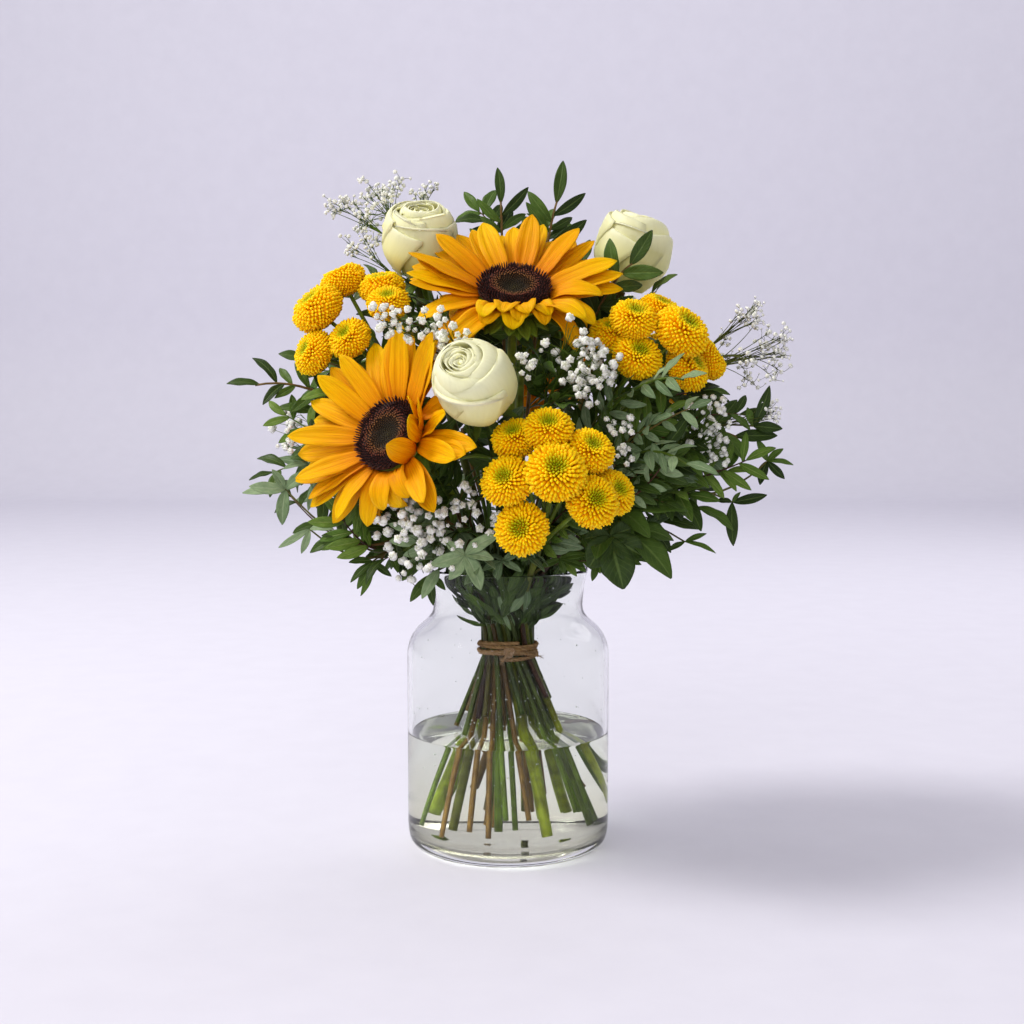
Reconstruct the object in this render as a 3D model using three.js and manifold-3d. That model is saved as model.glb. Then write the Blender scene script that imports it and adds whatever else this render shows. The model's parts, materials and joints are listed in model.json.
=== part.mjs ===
// Sunflowers, white roses, button chrysanthemums, gypsophila and foliage, tied with jute twine and
// standing in a glass vase of water. Millimetres, +Z up, origin on the vase's axis under its base.
import * as THREE from "three";
import { mergeVertices } from "three/addons/utils/BufferGeometryUtils.js";
import Module from "manifold-3d";

const wasm = await Module();
wasm.setup();

// ---------------------------------------------------------------- driving dimensions
const GAP = 0.35; // left between pieces that touch
const SMOOTH = 0.12; // creases finer than this are left out where pieces are joined

const BODY_R = 70;
const VASE_H = 195;
const WALL = 3;
const RIM_R = 55.75;
const NECK_R = 51.3;
const NECK_Z = 166;
const SHOULDER_Z = 140;
const FOOT_R = 62;
const FLOOR_Z = 7;
const VASE_SIDES = 28;

const WATER_Z = 80;

const BIND_Z = 139; // height of the twine's middle, where the stems are held
const BUNDLE_R = 17.9;
const TWINE_R = 1.45;
const TWINE_TURNS = 3;
const TWINE_SLACK = 1.7; // room for the flats of the twine's turns round the stems

const TWINE_HALF = 7; // the stems are held upright for this much above and below the twine's middle
const STEM_SPREAD = 0.0195;
const STEM_TWIST = 0.019;
const STEM_FOOT_R = 60;

const DISC_R = 23.5;
const PETAL_LENGTH = 50;
const PETAL_WIDTH = 17.5;
const CALYX_DEPTH = 12;
const ROSE_DEPTH = 27; // from a rose's centre down to its foot, at size 1
const FLORET_R = 3.3;

// ---------------------------------------------------------------- the flowers
// A head is placed by its centre and by the direction that it faces.
// A curl bends the petals within spread of an angle round the disc: lift is their slope at the root,
// bend how far they turn after it, both towards the face, and size their share of the full length.
const SUNFLOWERS = [
  {
    name: "left", centre: [-73, -91, 288], facing: [-0.54, -0.74, 0.4], turn: 0.1, petals: 12,
    curls: [
      { at: -0.5, spread: 0.16, lift: 1.5, bend: 1.2, size: 0.52 },
      { at: 0.32, spread: 0.3, lift: 1.3, bend: 0.1, size: 0.6 },
      { at: 0.85, spread: 0.25, lift: 0.8, bend: 0.1, size: 0.9 },
      { at: -1.5, spread: 0.75, lift: 0.5, bend: -1.0, size: 0.86 },
    ],
  },
  {
    name: "top", centre: [4, -55, 380], facing: [0.03, -0.59, 0.81], turn: 0.3, petals: 12,
    curls: [
      { at: -1.57, spread: 0.5, lift: 1.1, bend: -2.6, size: 0.5 },
      { at: -2.5, spread: 0.4, lift: 0.3, bend: -0.8, size: 0.85 },
      { at: -0.6, spread: 0.4, lift: 0.9, bend: -1.5, size: 0.75 },
    ],
  },
  {
    name: "back", centre: [12, 88, 352], facing: [0.1, 0.84, 0.53], turn: 0.2, petals: 9,
    curls: [{ at: -1.4, spread: 0.5, lift: 0.6, bend: -1.4, size: 0.8 }],
  },
];

const ROSES = [
  { name: "centre", centre: [-19, -118, 321], facing: [-0.18, -0.78, 0.6], size: 0.98, turn: 0.4 },
  { name: "left", centre: [-60, -1, 418], facing: [0.04, -0.42, 0.9], size: 1.0, turn: 1.5 },
  { name: "right", centre: [87, 30, 413], facing: [0.26, -0.16, 0.94], size: 1.04, turn: 2.6 },
];

// Each chrysanthemum spray forks at one point, and a head is x, y, z and its radius.
const MUMS = [
  {
    name: "left", fork: [-74, -18, 322],
    heads: [
      [-125, -34, 370, 18.8], [-110, -18, 389, 16], [-127, -42, 341, 16], [-103, -48, 350, 15.3],
      [-84, -25, 384, 16], [-78, -46, 373, 14.8],
    ],
  },
  {
    name: "centre", fork: [24, -76, 232],
    heads: [
      [29, -141, 268, 19.4], [0, -130, 262, 16.8], [50, -123, 280, 16], [25, -124, 293, 16.2],
      [5, -112, 287, 15.4], [51, -133, 250, 17.2], [64.5, -113, 254, 15.6], [9, -131, 233.5, 17.2],
    ],
  },
  {
    name: "right", fork: [66, -25, 304],
    heads: [
      [112, -59, 354, 19.4], [81, -62, 362, 16.4], [99, -41, 368, 15], [83, -64, 338, 17],
      [117, -46, 331, 17], [133, -25, 337, 15.4], [68, -47, 352, 15.6],
    ],
  },
  {
    name: "back", fork: [76, 50, 292],
    heads: [[116, 80, 344, 17.4], [100, 96, 330, 16.4], [119, 76, 320, 17]],
  },
];

// A gypsophila spray: where its main stem ends, how wide its florets spread, and how many they are.
const GYPSOPHILA = [
  { name: "top_left", tip: [-86, 22, 432], reach: 44, florets: 11 },
  { name: "right", tip: [160, -4, 340], reach: 44, florets: 11 },
  { name: "middle_left", tip: [-44, -84, 345], reach: 26, florets: 10 },
  { name: "middle_right", tip: [44, -84, 334], reach: 30, florets: 11 },
  { name: "lower_left", tip: [-52, -92, 222], reach: 34, florets: 10 },
  { name: "back", tip: [-26, 116, 330], reach: 40, florets: 9 },
];

// A leafy stem: its tip, its leaves' kind, how many pairs it has, and one leaf's length and width.
const FOLIAGE = [
  { name: "top_left", tip: [-5, 12, 446], pairs: 4, leaf: [27, 9], colour: 0x3f5c35 },
  { name: "top_right", tip: [34, 20, 447], pairs: 4, leaf: [30, 10.5], colour: 0x3f5c35 },
  { name: "before_rose", tip: [82, -38, 400], pairs: 3, leaf: [27, 12], colour: 0x35512e },
  { name: "left_high", tip: [-170, -22, 320], pairs: 4, leaf: [25, 10], colour: 0x3a5733 },
  { name: "left_mid", tip: [-138, -2, 336], pairs: 3, leaf: [24, 10], colour: 0x35512e },
  { name: "left_broad", tip: [-138, -38, 254], pairs: 3, leaf: [38, 17], colour: 0x4c6a4c },
  { name: "left_low", tip: [-84, -62, 204], pairs: 4, leaf: [28, 11], colour: 0x35512e },
  { name: "over_rim", tip: [-45, -82, 200], pairs: 3, leaf: [27, 11], colour: 0x486a49 },
  { name: "grey_high", tip: [110, -98, 324], pairs: 4, leaf: [22, 9], colour: 0x5c7b62 },
  { name: "grey_low", tip: [114, -98, 270], pairs: 4, leaf: [22, 9], colour: 0x5c7b62 },
  { name: "right_dark", tip: [158, -6, 284], pairs: 4, leaf: [30, 12], colour: 0x2f4a2b },
  { name: "right_low", tip: [130, -26, 236], pairs: 4, leaf: [28, 12], colour: 0x35512e },
  { name: "lobed", tip: [72, -66, 236], pairs: 1, leaf: [50, 26], colour: 0x2b4428 },
  { name: "back_left", tip: [-120, 86, 296], pairs: 3, leaf: [32, 13], colour: 0x3a5733 },
  { name: "back_right", tip: [124, 72, 262], pairs: 3, leaf: [32, 13], colour: 0x2f4a2b },
];

// ---------------------------------------------------------------- small tools
const vec = (x, y, z) => new THREE.Vector3(x, y, z);
const toVec = (list) => vec(list[0], list[1], list[2]);
const UP = vec(0, 0, 1);
const along = (start, direction, distance) => start.clone().addScaledVector(direction, distance);

// A fixed number from 0 to 1 that belongs to repeat i of feature j.
function chance(i, j) {
  const s = Math.sin(i * 12.9898 + j * 78.233) * 43758.5453;
  return s - Math.floor(s);
}

function reshape(geometry, move) {
  const position = geometry.attributes.position;
  const p = new THREE.Vector3();
  for (let i = 0; i < position.count; i++) {
    p.fromBufferAttribute(position, i);
    move(p);
    position.setXYZ(i, p.x, p.y, p.z);
  }
  return geometry;
}

// A closed geometry as a solid: shared vertices merged, collapsed faces dropped, faces outward.
function solid(geometry) {
  geometry.deleteAttribute("normal");
  geometry.deleteAttribute("uv");
  const merged = mergeVertices(geometry, 1e-3);
  const faces = [];
  for (let i = 0; i < merged.index.count; i += 3) {
    const [a, b, c] = [0, 1, 2].map((k) => merged.index.getX(i + k));
    if (a !== b && b !== c && c !== a) faces.push([a, b, c]);
  }
  const make = (list) =>
    new wasm.Manifold(
      new wasm.Mesh({
        numProp: 3,
        vertProperties: merged.attributes.position.array,
        triVerts: new Uint32Array(list.flat()),
      }),
    );
  const made = make(faces);
  return made.volume() > 0 ? made : make(faces.map(([a, b, c]) => [a, c, b]));
}

// The largest body of several joined solids, with anything sealed inside it filled.
function fuse(solids) {
  const bodies = wasm.Manifold.union(solids)
    .decompose()
    .filter((body) => body.volume() > 0);
  bodies.sort((a, b) => b.volume() - a.volume());
  bodies[0] = bodies[0].simplify(SMOOTH);
  if (bodies.length > 1) {
    const lost = bodies.slice(1).reduce((sum, body) => sum + body.volume(), 0);
    if (lost > 0.01 * bodies[0].volume()) console.log("loose pieces dropped:", bodies.length - 1, lost);
  }
  return bodies[0];
}

// Turns a geometry whose axis is +Z, and whose front is +X, to face a direction at a place.
function frameOf(centre, facing, turn = 0) {
  const axis = facing.clone().normalize();
  const across = UP.clone().cross(axis).normalize();
  const upward = axis.clone().cross(across);
  const spun = across.clone().multiplyScalar(Math.cos(turn)).addScaledVector(upward, Math.sin(turn));
  return new THREE.Matrix4().makeBasis(spun, axis.clone().cross(spun), axis).setPosition(centre);
}

function turned(profile, sides) {
  const points = profile.map(([r, z]) => new THREE.Vector2(r, z));
  return new THREE.LatheGeometry(points, sides).rotateX(Math.PI / 2);
}

// A round bar through points, with its own radius at each.
function tube(points, radii, sides) {
  const last = points.length - 1;
  const rings = [];
  let side = null;
  points.forEach((point, i) => {
    const ahead = points[Math.min(i + 1, last)].clone().sub(points[Math.max(i - 1, 0)]).normalize();
    if (!side) side = Math.abs(ahead.z) < 0.9 ? UP.clone() : vec(1, 0, 0);
    side = side.clone().addScaledVector(ahead, -side.dot(ahead)).normalize();
    rings.push({ point, x: side, z: ahead.clone().cross(side), r: radii[i] });
  });
  return reshape(new THREE.CylinderGeometry(1, 1, 1, sides, last), (p) => {
    const ring = rings[Math.round((0.5 - p.y) * last)];
    const { x, z } = p;
    p.copy(ring.point).addScaledVector(ring.x, x * ring.r).addScaledVector(ring.z, z * ring.r);
  });
}

// The centre line of a blade that starts at one slope and ends at another, as [along, up].
function arc(length, from, to, t) {
  const turn = to - from;
  if (Math.abs(turn) < 1e-3) return [length * t * Math.cos(from), length * t * Math.sin(from)];
  const angle = from + turn * t;
  return [
    (length * (Math.sin(angle) - Math.sin(from))) / turn,
    (length * (Math.cos(from) - Math.cos(angle))) / turn,
  ];
}

const pointed = (t) => Math.sin(Math.PI * t) ** 0.8;
const strap = (t) => Math.sin(Math.PI * t) ** 0.4;

// A leaf or petal: a flattened three-sided spindle, flat above and keeled below along its rib,
// pointed at both ends.
function blade(root, direction, face, shape) {
  const { length, width, from = 0, to = 0, fold = 0.15, rows = 2, thick = 1.1, outline = pointed } = shape;
  const ahead = direction.clone().normalize();
  const normal = face.clone().addScaledVector(ahead, -face.dot(ahead)).normalize();
  const basis = new THREE.Matrix4().makeBasis(ahead.clone().cross(normal), ahead, normal);
  const spindle = reshape(new THREE.SphereGeometry(1, 3, rows + 1), (p) => {
    const t = Math.round((Math.acos(THREE.MathUtils.clamp(p.y, -1, 1)) / Math.PI) * (rows + 1)) / (rows + 1);
    const [y, z] = arc(length, from, to, t);
    const angle = from + (to - from) * t;
    const half = t > 0 && t < 1 ? (width / 2) * outline(t) : 0;
    const edge = Math.abs(p.z) > 0.1 ? Math.sign(p.z) : 0;
    const raise = half > 0 ? (edge ? fold * half : -thick) : 0;
    p.set(edge * half, y - Math.sin(angle) * raise, z + Math.cos(angle) * raise);
  });
  return solid(spindle.applyMatrix4(basis.setPosition(root)));
}

// ---------------------------------------------------------------- what stands already
const root = new THREE.Group();
const standing = [];

function boxesMeet(a, b, margin) {
  for (let k = 0; k < 3; k++) {
    if (a.min[k] > b.max[k] + margin || b.min[k] > a.max[k] + margin) return false;
  }
  return true;
}

// True where a solid keeps its gap to everything that stands already.
function isClear(shape, margin = GAP) {
  const box = shape.boundingBox();
  return standing.every(
    (other) => !boxesMeet(box, other.box, margin) || shape.minGap(other.shape, margin * 2) > margin,
  );
}

function addNode(name, shape, colour, roughness, more = {}) {
  standing.push({ name, shape, box: shape.boundingBox() });
  const found = shape.getMesh();
  const geometry = new THREE.BufferGeometry();
  const places = new Float32Array(found.numVert * 3);
  for (let i = 0; i < found.numVert; i++) {
    places.set(found.vertProperties.subarray(i * found.numProp, i * found.numProp + 3), i * 3);
  }
  geometry.setAttribute("position", new THREE.BufferAttribute(places, 3));
  geometry.setIndex(new THREE.BufferAttribute(new Uint32Array(found.triVerts), 1));
  const material = new THREE.MeshStandardMaterial({ color: colour, roughness, metalness: 0, ...more });
  const mesh = new THREE.Mesh(geometry, material);
  mesh.name = name;
  root.add(mesh);
}

// ---------------------------------------------------------------- vase and twine
function vaseProfile() {
  const inside = BODY_R - WALL;
  return [
    [0, 0], [FOOT_R, 0], [BODY_R - 2, 4], [BODY_R, 12], [BODY_R, SHOULDER_Z],
    [BODY_R - 5, SHOULDER_Z + 11], [NECK_R + 3, SHOULDER_Z + 20], [NECK_R, NECK_Z],
    [NECK_R + 1.4, NECK_Z + 16], [RIM_R, VASE_H - 1], [RIM_R - 1.6, VASE_H], [RIM_R - 3, VASE_H - 1.6],
    [NECK_R - WALL, NECK_Z], [NECK_R, SHOULDER_Z + 18], [inside - 4, SHOULDER_Z + 9],
    [inside, SHOULDER_Z - 1], [inside, 16], [FOOT_R, FLOOR_Z], [0, FLOOR_Z],
  ];
}

function twineShape() {
  const perTurn = 10;
  const helixR = BUNDLE_R + TWINE_R + TWINE_SLACK;
  const pitch = TWINE_R * 2 + 0.15;
  const points = [];
  for (let i = 0; i <= TWINE_TURNS * perTurn; i++) {
    const angle = (i / perTurn) * 2 * Math.PI - Math.PI / 2;
    const z = BIND_Z + (i / perTurn - TWINE_TURNS / 2) * pitch;
    points.push(vec(helixR * Math.cos(angle), helixR * Math.sin(angle), z));
  }
  const cord = tube(points, points.map(() => TWINE_R), 5);
  const front = vec(1, -helixR - 1.6, BIND_Z - 1);
  const knot = new THREE.SphereGeometry(1, 6, 4).scale(4, 2.9, 3.4).translate(front.x, front.y, front.z);
  const tails = [
    [front, vec(12, -helixR - 0.4, BIND_Z - 12)],
    [front, vec(-8, -helixR - 0.9, BIND_Z - 14)],
  ].map((line) => tube(line, [1.3, 1.1], 4));
  return fuse([cord, knot, ...tails].map(solid));
}

addNode("glass_vase", solid(turned(vaseProfile(), VASE_SIDES)), 0xe8f0ee, 0.03, {
  transparent: true,
  opacity: 0.35,
});
addNode("twine_binding", twineShape(), 0x8f6b45, 0.95);

// ---------------------------------------------------------------- stems
const stems = [];

function addStem(name, radius, head, facing, sides, bow = 55) {
  const stem = { name, radius, head, facing, sides, bow };
  stems.push(stem);
  return stem;
}

// Finds each stem's place in the tied bundle: near the side that its flower leans to, then pushed
// apart until none touches another.
function packBundle() {
  const lead = 0.7; // the stems turn by this much round the axis between twine and flower
  const upright = 1.15;
  for (const stem of stems) {
    const out = Math.hypot(stem.head.x, stem.head.y);
    const lean = Math.min(1, out / (stem.head.z - BIND_Z) / upright);
    const angle = Math.atan2(stem.head.y, stem.head.x) + lead;
    stem.bind = new THREE.Vector2(Math.cos(angle), Math.sin(angle)).multiplyScalar(
      lean * (BUNDLE_R - stem.radius),
    );
  }
  for (let round = 0; round < 600; round++) {
    for (let i = 0; i < stems.length; i++) {
      for (let j = 0; j < i; j++) {
        const between = stems[i].bind.clone().sub(stems[j].bind);
        const wanted = (stems[i].radius + stems[j].radius + 0.4) * 1.08;
        const missing = wanted - between.length();
        if (missing <= 0) continue;
        between.normalize().multiplyScalar(missing / 2);
        stems[i].bind.add(between);
        stems[j].bind.sub(between);
      }
    }
    for (const stem of stems) stem.bind.clampLength(0, BUNDLE_R - stem.radius);
  }
}

// A stem's centre by its depth under the twine's middle: every stem is straight there, and together
// they turn like a screw and open below the twine.
function lowerPoint(bind, depth) {
  const below = Math.max(0, depth - TWINE_HALF);
  const grow = 1 + STEM_SPREAD * below;
  const twist = STEM_TWIST * depth;
  return vec(bind.x * grow - bind.y * twist, bind.y * grow + bind.x * twist, BIND_Z - depth);
}

function footDepth(stem, i) {
  let depth = BIND_Z - FLOOR_Z - 4 - stem.radius - 9 * chance(i, 1);
  while (lowerPoint(stem.bind, depth).setZ(0).length() > STEM_FOOT_R - stem.radius) depth -= 1;
  return depth;
}

// The stem's centre line from its cut foot to its head: straight in the water, held by the twine,
// then one smooth bow that meets the head from behind.
function stemPoints(stem, steps, head = stem.head, facing = stem.facing) {
  const depths = [stem.foot, TWINE_HALF, -TWINE_HALF];
  const lower = depths.map((depth) => lowerPoint(stem.bind, depth));
  const start = lower[lower.length - 1];
  const leave = vec(stem.bind.y * STEM_TWIST, -stem.bind.x * STEM_TWIST, 1).normalize();
  const reach = Math.min(85, start.distanceTo(head) * 0.4);
  const bow = new THREE.CubicBezierCurve3(
    start,
    along(start, leave, reach),
    along(head, facing, -stem.bow),
    head,
  );
  stem.line = bow.getPoints(steps);
  return lower.concat(stem.line.slice(1));
}

// The place and direction at a share of the way from the twine to the head.
function onStem(stem, share) {
  const last = stem.line.length - 1;
  const k = Math.min(last - 1, Math.floor(share * last));
  const place = stem.line[k].clone().lerp(stem.line[k + 1], share * last - k);
  return { place, ahead: stem.line[k + 1].clone().sub(stem.line[k]).normalize() };
}

function stemTube(stem, steps, thin, head, facing) {
  const points = stemPoints(stem, steps, head, facing);
  const radii = points.map((_, i) => {
    const up = Math.max(0, i - 2) / steps;
    return stem.radius * (1 - (1 - thin) * up);
  });
  return solid(tube(points, radii, stem.sides));
}

const headsBase = (flower, depth) => {
  const facing = toVec(flower.facing).normalize();
  return along(toVec(flower.centre), facing, -depth);
};

for (const flower of SUNFLOWERS) {
  flower.axis = toVec(flower.facing).normalize();
  flower.stem = addStem(flower.name, 4.1, headsBase(flower, CALYX_DEPTH), flower.axis, 6, 60);
}
for (const rose of ROSES) {
  rose.axis = toVec(rose.facing).normalize();
  rose.stem = addStem(rose.name, 2.8, headsBase(rose, ROSE_DEPTH * rose.size + 2.5 * GAP), rose.axis, 5, 60);
}
for (const spray of MUMS) {
  const fork = toVec(spray.fork);
  const outward = vec(fork.x, fork.y, 140).normalize();
  spray.stem = addStem(spray.name, 2.3, fork, outward, 5, 50);
}
for (const spray of GYPSOPHILA) {
  const tip = toVec(spray.tip);
  spray.stem = addStem(spray.name, 1.5, tip, frondFacing(tip), 4, frondBow(tip));
}
for (const frond of FOLIAGE) {
  const tip = toVec(frond.tip);
  frond.stem = addStem(frond.name, 1.7, tip, frondFacing(tip), 4, frondBow(tip));
}

// A leafy stem rises first, arches over the rim and ends outwards, the lower its tip the more so.
function frondFacing(tip) {
  const high = THREE.MathUtils.clamp((tip.z - 180) / 290, 0, 1);
  const crest = vec(tip.x * 0.6, tip.y * 0.6, tip.z + 75 - 125 * high);
  return tip.clone().sub(crest).normalize();
}

function frondBow(tip) {
  const high = THREE.MathUtils.clamp((tip.z - 180) / 290, 0, 1);
  return vec(tip.x * 0.4, tip.y * 0.4, -75 + 125 * high).length();
}

packBundle();
stems.forEach((stem, i) => (stem.foot = footDepth(stem, i)));

// ---------------------------------------------------------------- sunflowers
function sunflowerDisc(flower) {
  const stalk = DISC_R - 5;
  const sides = 16;
  const profile = [
    [0, -2.4], [stalk, -2.4], [stalk, 0.6], [DISC_R, 2.6], [DISC_R - 1.6, 6], [DISC_R - 7, 7.2],
    [DISC_R - 13, 6], [DISC_R - 18, 4.6], [0, 3.8],
  ];
  const dome = reshape(turned(profile, sides), (p) => {
    const r = Math.hypot(p.x, p.y);
    if (p.z < 4 || r < 1) return;
    const column = Math.round((Math.atan2(p.y, p.x) / (2 * Math.PI)) * sides);
    const ring = profile.findIndex(([pr, pz]) => Math.abs(pr - r) < 0.1 && Math.abs(pz - p.z) < 0.1);
    p.z += (column + ring) % 2 ? 0.7 : -0.5;
  });
  return solid(dome.applyMatrix4(frameOf(toVec(flower.centre), flower.axis)));
}

// The angle of petal i of a layer, and the curl that its place round the disc gives it.
function petalCurl(flower, angle) {
  const away = (curl) => Math.abs(Math.atan2(Math.sin(angle - curl.at), Math.cos(angle - curl.at)));
  return flower.curls.find((curl) => away(curl) < curl.spread);
}

function sunflowerPetals(flower, seed) {
  const centre = toVec(flower.centre);
  const frame = frameOf(centre, flower.axis);
  const ringProfile = [
    [DISC_R - 3.8, -2.4], [DISC_R + 0.6, -2.4], [DISC_R + 0.8, -0.9], [DISC_R - 2, 0], [DISC_R - 3.8, -0.2],
    [DISC_R - 3.8, -2.4],
  ];
  const parts = [solid(turned(ringProfile, 12).applyMatrix4(frame))];
  for (let layer = 0; layer < 2; layer++) {
    for (let i = 0; i < flower.petals; i++) {
      const n = i + layer * 40;
      const wobble = (chance(n, seed) - 0.5) * 0.1;
      const angle = ((i + layer * 0.5) / flower.petals) * 2 * Math.PI + flower.turn + wobble;
      const curl = petalCurl(flower, angle);
      const radial = vec(Math.cos(angle), Math.sin(angle), 0).transformDirection(frame);
      const rest = layer === 0 ? 0.38 : 0.08;
      const lift = curl ? curl.lift - layer * 0.3 : rest + 0.1 * chance(n, seed + 1);
      const bend = curl ? curl.bend : 0.12 - 0.45 * chance(n, seed + 2);
      const size = (curl ? curl.size : 1) * (0.92 + 0.14 * chance(n, seed + 3));
      const low = layer === 0 && !curl ? -0.6 : -1.8;
      const start = along(along(centre, radial, DISC_R - (curl ? 0.3 : 1.6)), flower.axis, low);
      // A petal that would touch the disc leans further out until it is clear.
      for (let lean = 0; lean < 1; lean += 0.1) {
        const petal = blade(start, radial, flower.axis, {
          length: PETAL_LENGTH * size,
          width: PETAL_WIDTH * (0.9 + 0.2 * chance(n, seed + 4)),
          from: lift - lean,
          to: lift - lean + bend,
          fold: 0.22,
          rows: layer === 0 ? 3 : 2,
          outline: strap,
        });
        if (!isClear(petal)) continue;
        parts.push(petal);
        break;
      }
    }
  }
  return fuse(parts);
}

function sunflowerStem(flower, seed) {
  const centre = toVec(flower.centre);
  const frame = frameOf(centre, flower.axis);
  const cup = turned(
    [[0, -CALYX_DEPTH - 2], [5.5, -CALYX_DEPTH - 1], [17, -7.5], [23, -4], [22, -2.8], [0, -2.8]],
    7,
  );
  const parts = [stemTube(flower.stem, 4, 0.92), solid(cup.applyMatrix4(frame))];
  const bracts = 6;
  for (let i = 0; i < bracts; i++) {
    const angle = (i / bracts) * 2 * Math.PI;
    const radial = vec(Math.cos(angle), Math.sin(angle), 0).transformDirection(frame);
    const start = along(along(centre, radial, 15), flower.axis, -7);
    const shape = { length: 26, width: 12, from: -0.1, to: -0.5 - 0.3 * chance(i, seed), fold: -0.1 };
    const bract = blade(start, radial, flower.axis, shape);
    if (isClear(bract)) parts.push(bract);
  }
  return fuse(parts);
}

SUNFLOWERS.forEach((flower, i) => {
  addNode(`sunflower_${flower.name}_disc`, sunflowerDisc(flower), 0x3a2013, 0.9);
  addNode(`sunflower_${flower.name}_petals`, sunflowerPetals(flower, 10 * i + 20), 0xf2a800, 0.55);
});

// ---------------------------------------------------------------- roses
// One cupped petal: it wraps round the bloom, starts in its foot, and its rim rolls outwards.
function rosePetal(rose, tier, angle) {
  const size = rose.size;
  const petal = new THREE.BoxGeometry(1, 1, 1, 3, 2, 1);
  return reshape(petal, (p) => {
    const t = p.y + 0.5;
    const share = t < 0.1 ? 0.25 : 1;
    const turn = angle + p.x * tier.wrap * share;
    const belly = tier.foot + (tier.mid - tier.foot) * Math.sin(Math.min(1, t * 2) * 1.57);
    const roll = t > 0.9 ? tier.rim - tier.mid : 0;
    const r = (belly + roll + p.x * tier.tuck + p.z * 0.9) * size;
    const corner = t > 0.9 ? tier.round * 4 * p.x * p.x : 0;
    const z = (tier.low + (tier.high - tier.low) * t - corner) * size;
    p.set(r * Math.cos(turn), r * Math.sin(turn), z);
  });
}

const ROSE_TIERS = [
  { count: 5, wrap: 1.75, foot: 6, mid: 24.5, rim: 26, low: -25, high: 15, tuck: 3, round: 4 },
  { count: 3, wrap: 2.4, foot: 5, mid: 18.5, rim: 17.5, low: -21, high: 22, tuck: 3, round: 3 },
  { count: 2, wrap: 2.7, foot: 4, mid: 12.5, rim: 10.5, low: -14, high: 26, tuck: 3, round: 2 },
];

function roseBloom(rose) {
  const frame = frameOf(toVec(rose.centre), rose.axis, rose.turn);
  const core = [[0, -ROSE_DEPTH], [7, 1 - ROSE_DEPTH], [8, -8], [6.5, 16], [4, 24], [0, 22]];
  const parts = [solid(turned(core.map(([r, z]) => [r * rose.size, z * rose.size]), 6).applyMatrix4(frame))];
  ROSE_TIERS.forEach((tier, k) => {
    for (let i = 0; i < tier.count; i++) {
      const angle = ((i + k * 0.4) / tier.count) * 2 * Math.PI;
      parts.push(solid(rosePetal(rose, tier, angle).applyMatrix4(frame)));
    }
  });
  return fuse(parts);
}

function roseStem(rose, seed) {
  const base = rose.stem.head;
  const hipFrame = frameOf(base, rose.axis);
  const parts = [stemTube(rose.stem, 4, 1.5)];
  for (let i = 0; i < 5; i++) {
    const angle = (i / 5) * 2 * Math.PI + 0.3;
    const radial = vec(Math.cos(angle), Math.sin(angle), 0).transformDirection(hipFrame);
    const start = along(along(base, radial, 2), rose.axis, -2.2);
    const from = -0.2 - 0.5 * chance(i, seed);
    const sepal = blade(start, radial, rose.axis, { length: 20, width: 6, from, to: from - 0.5 });
    if (isClear(sepal)) parts.push(sepal);
  }
  return fuse(parts);
}

ROSES.forEach((rose) => addNode(`rose_${rose.name}_bloom`, roseBloom(rose), 0xf3f0dc, 0.6));

// ---------------------------------------------------------------- chrysanthemums
// A button head: a flattened ball whose rows of petal tips stand out in turn, dimpled at the eye.
function mumHead(centre, facing, radius) {
  const columns = 10;
  const rows = 4;
  const ball = reshape(new THREE.SphereGeometry(1, columns, rows), (p) => {
    const row = Math.round((Math.acos(THREE.MathUtils.clamp(p.y, -1, 1)) / Math.PI) * rows);
    const column = Math.round((Math.atan2(p.z, p.x) / (2 * Math.PI)) * columns);
    const tip = row > 0 && row < rows && (column + row) % 2 ? 1 : 0;
    const [r, z] = [[0, 0.5], [0.62, 0.64], [1, 0.12], [0.74, -0.42], [0, -0.6]][row];
    const angle = (column / columns) * 2 * Math.PI;
    const out = r * (tip ? 1.06 : 0.97);
    p.set(out * Math.cos(angle), out * Math.sin(angle), z + (tip ? 0.06 : -0.03));
  });
  return solid(ball.scale(radius, radius, radius).applyMatrix4(frameOf(centre, facing)));
}

function mumFacing(spray, head) {
  const fork = toVec(spray.fork);
  return toVec(head).sub(fork).normalize().add(vec(0, -0.15, 0.15)).normalize();
}

// A straight branch to a head, or one bowed to a side where another head is in its way, or none
// where the head's back lies against another head.
function clearBranch(start, end, side) {
  for (const bow of [0, 9, -9]) {
    const middle = along(start.clone().lerp(end, 0.5), side, bow);
    const line = bow ? [start, middle, end] : [start, end];
    const branch = solid(tube(line, line.map(() => 1.6), 3));
    if (isClear(branch)) return [branch];
  }
  return [];
}

function mumStem(spray, seed) {
  const fork = toVec(spray.fork);
  const parts = [stemTube(spray.stem, 4, 0.85)];
  for (const [k, head] of spray.heads.entries()) {
    const facing = mumFacing(spray, head);
    const end = along(toVec(head), facing, -0.6 * head[3] - 1);
    const { place: start } = onStem(spray.stem, 0.98 - 0.2 * (k / spray.heads.length));
    const side = facing.clone().cross(UP).normalize();
    parts.push(...clearBranch(start, end, side));
    if (k % 3) continue;
    const leafWay = side.multiplyScalar(k % 2 ? 1 : -1).addScaledVector(facing, 0.5).addScaledVector(UP, -0.3);
    const leaf = blade(start, leafWay, UP, { length: 26, width: 11, from: 0.2, to: -0.5 - chance(k, seed) });
    if (isClear(leaf)) parts.push(leaf);
  }
  return fuse(parts);
}

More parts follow.
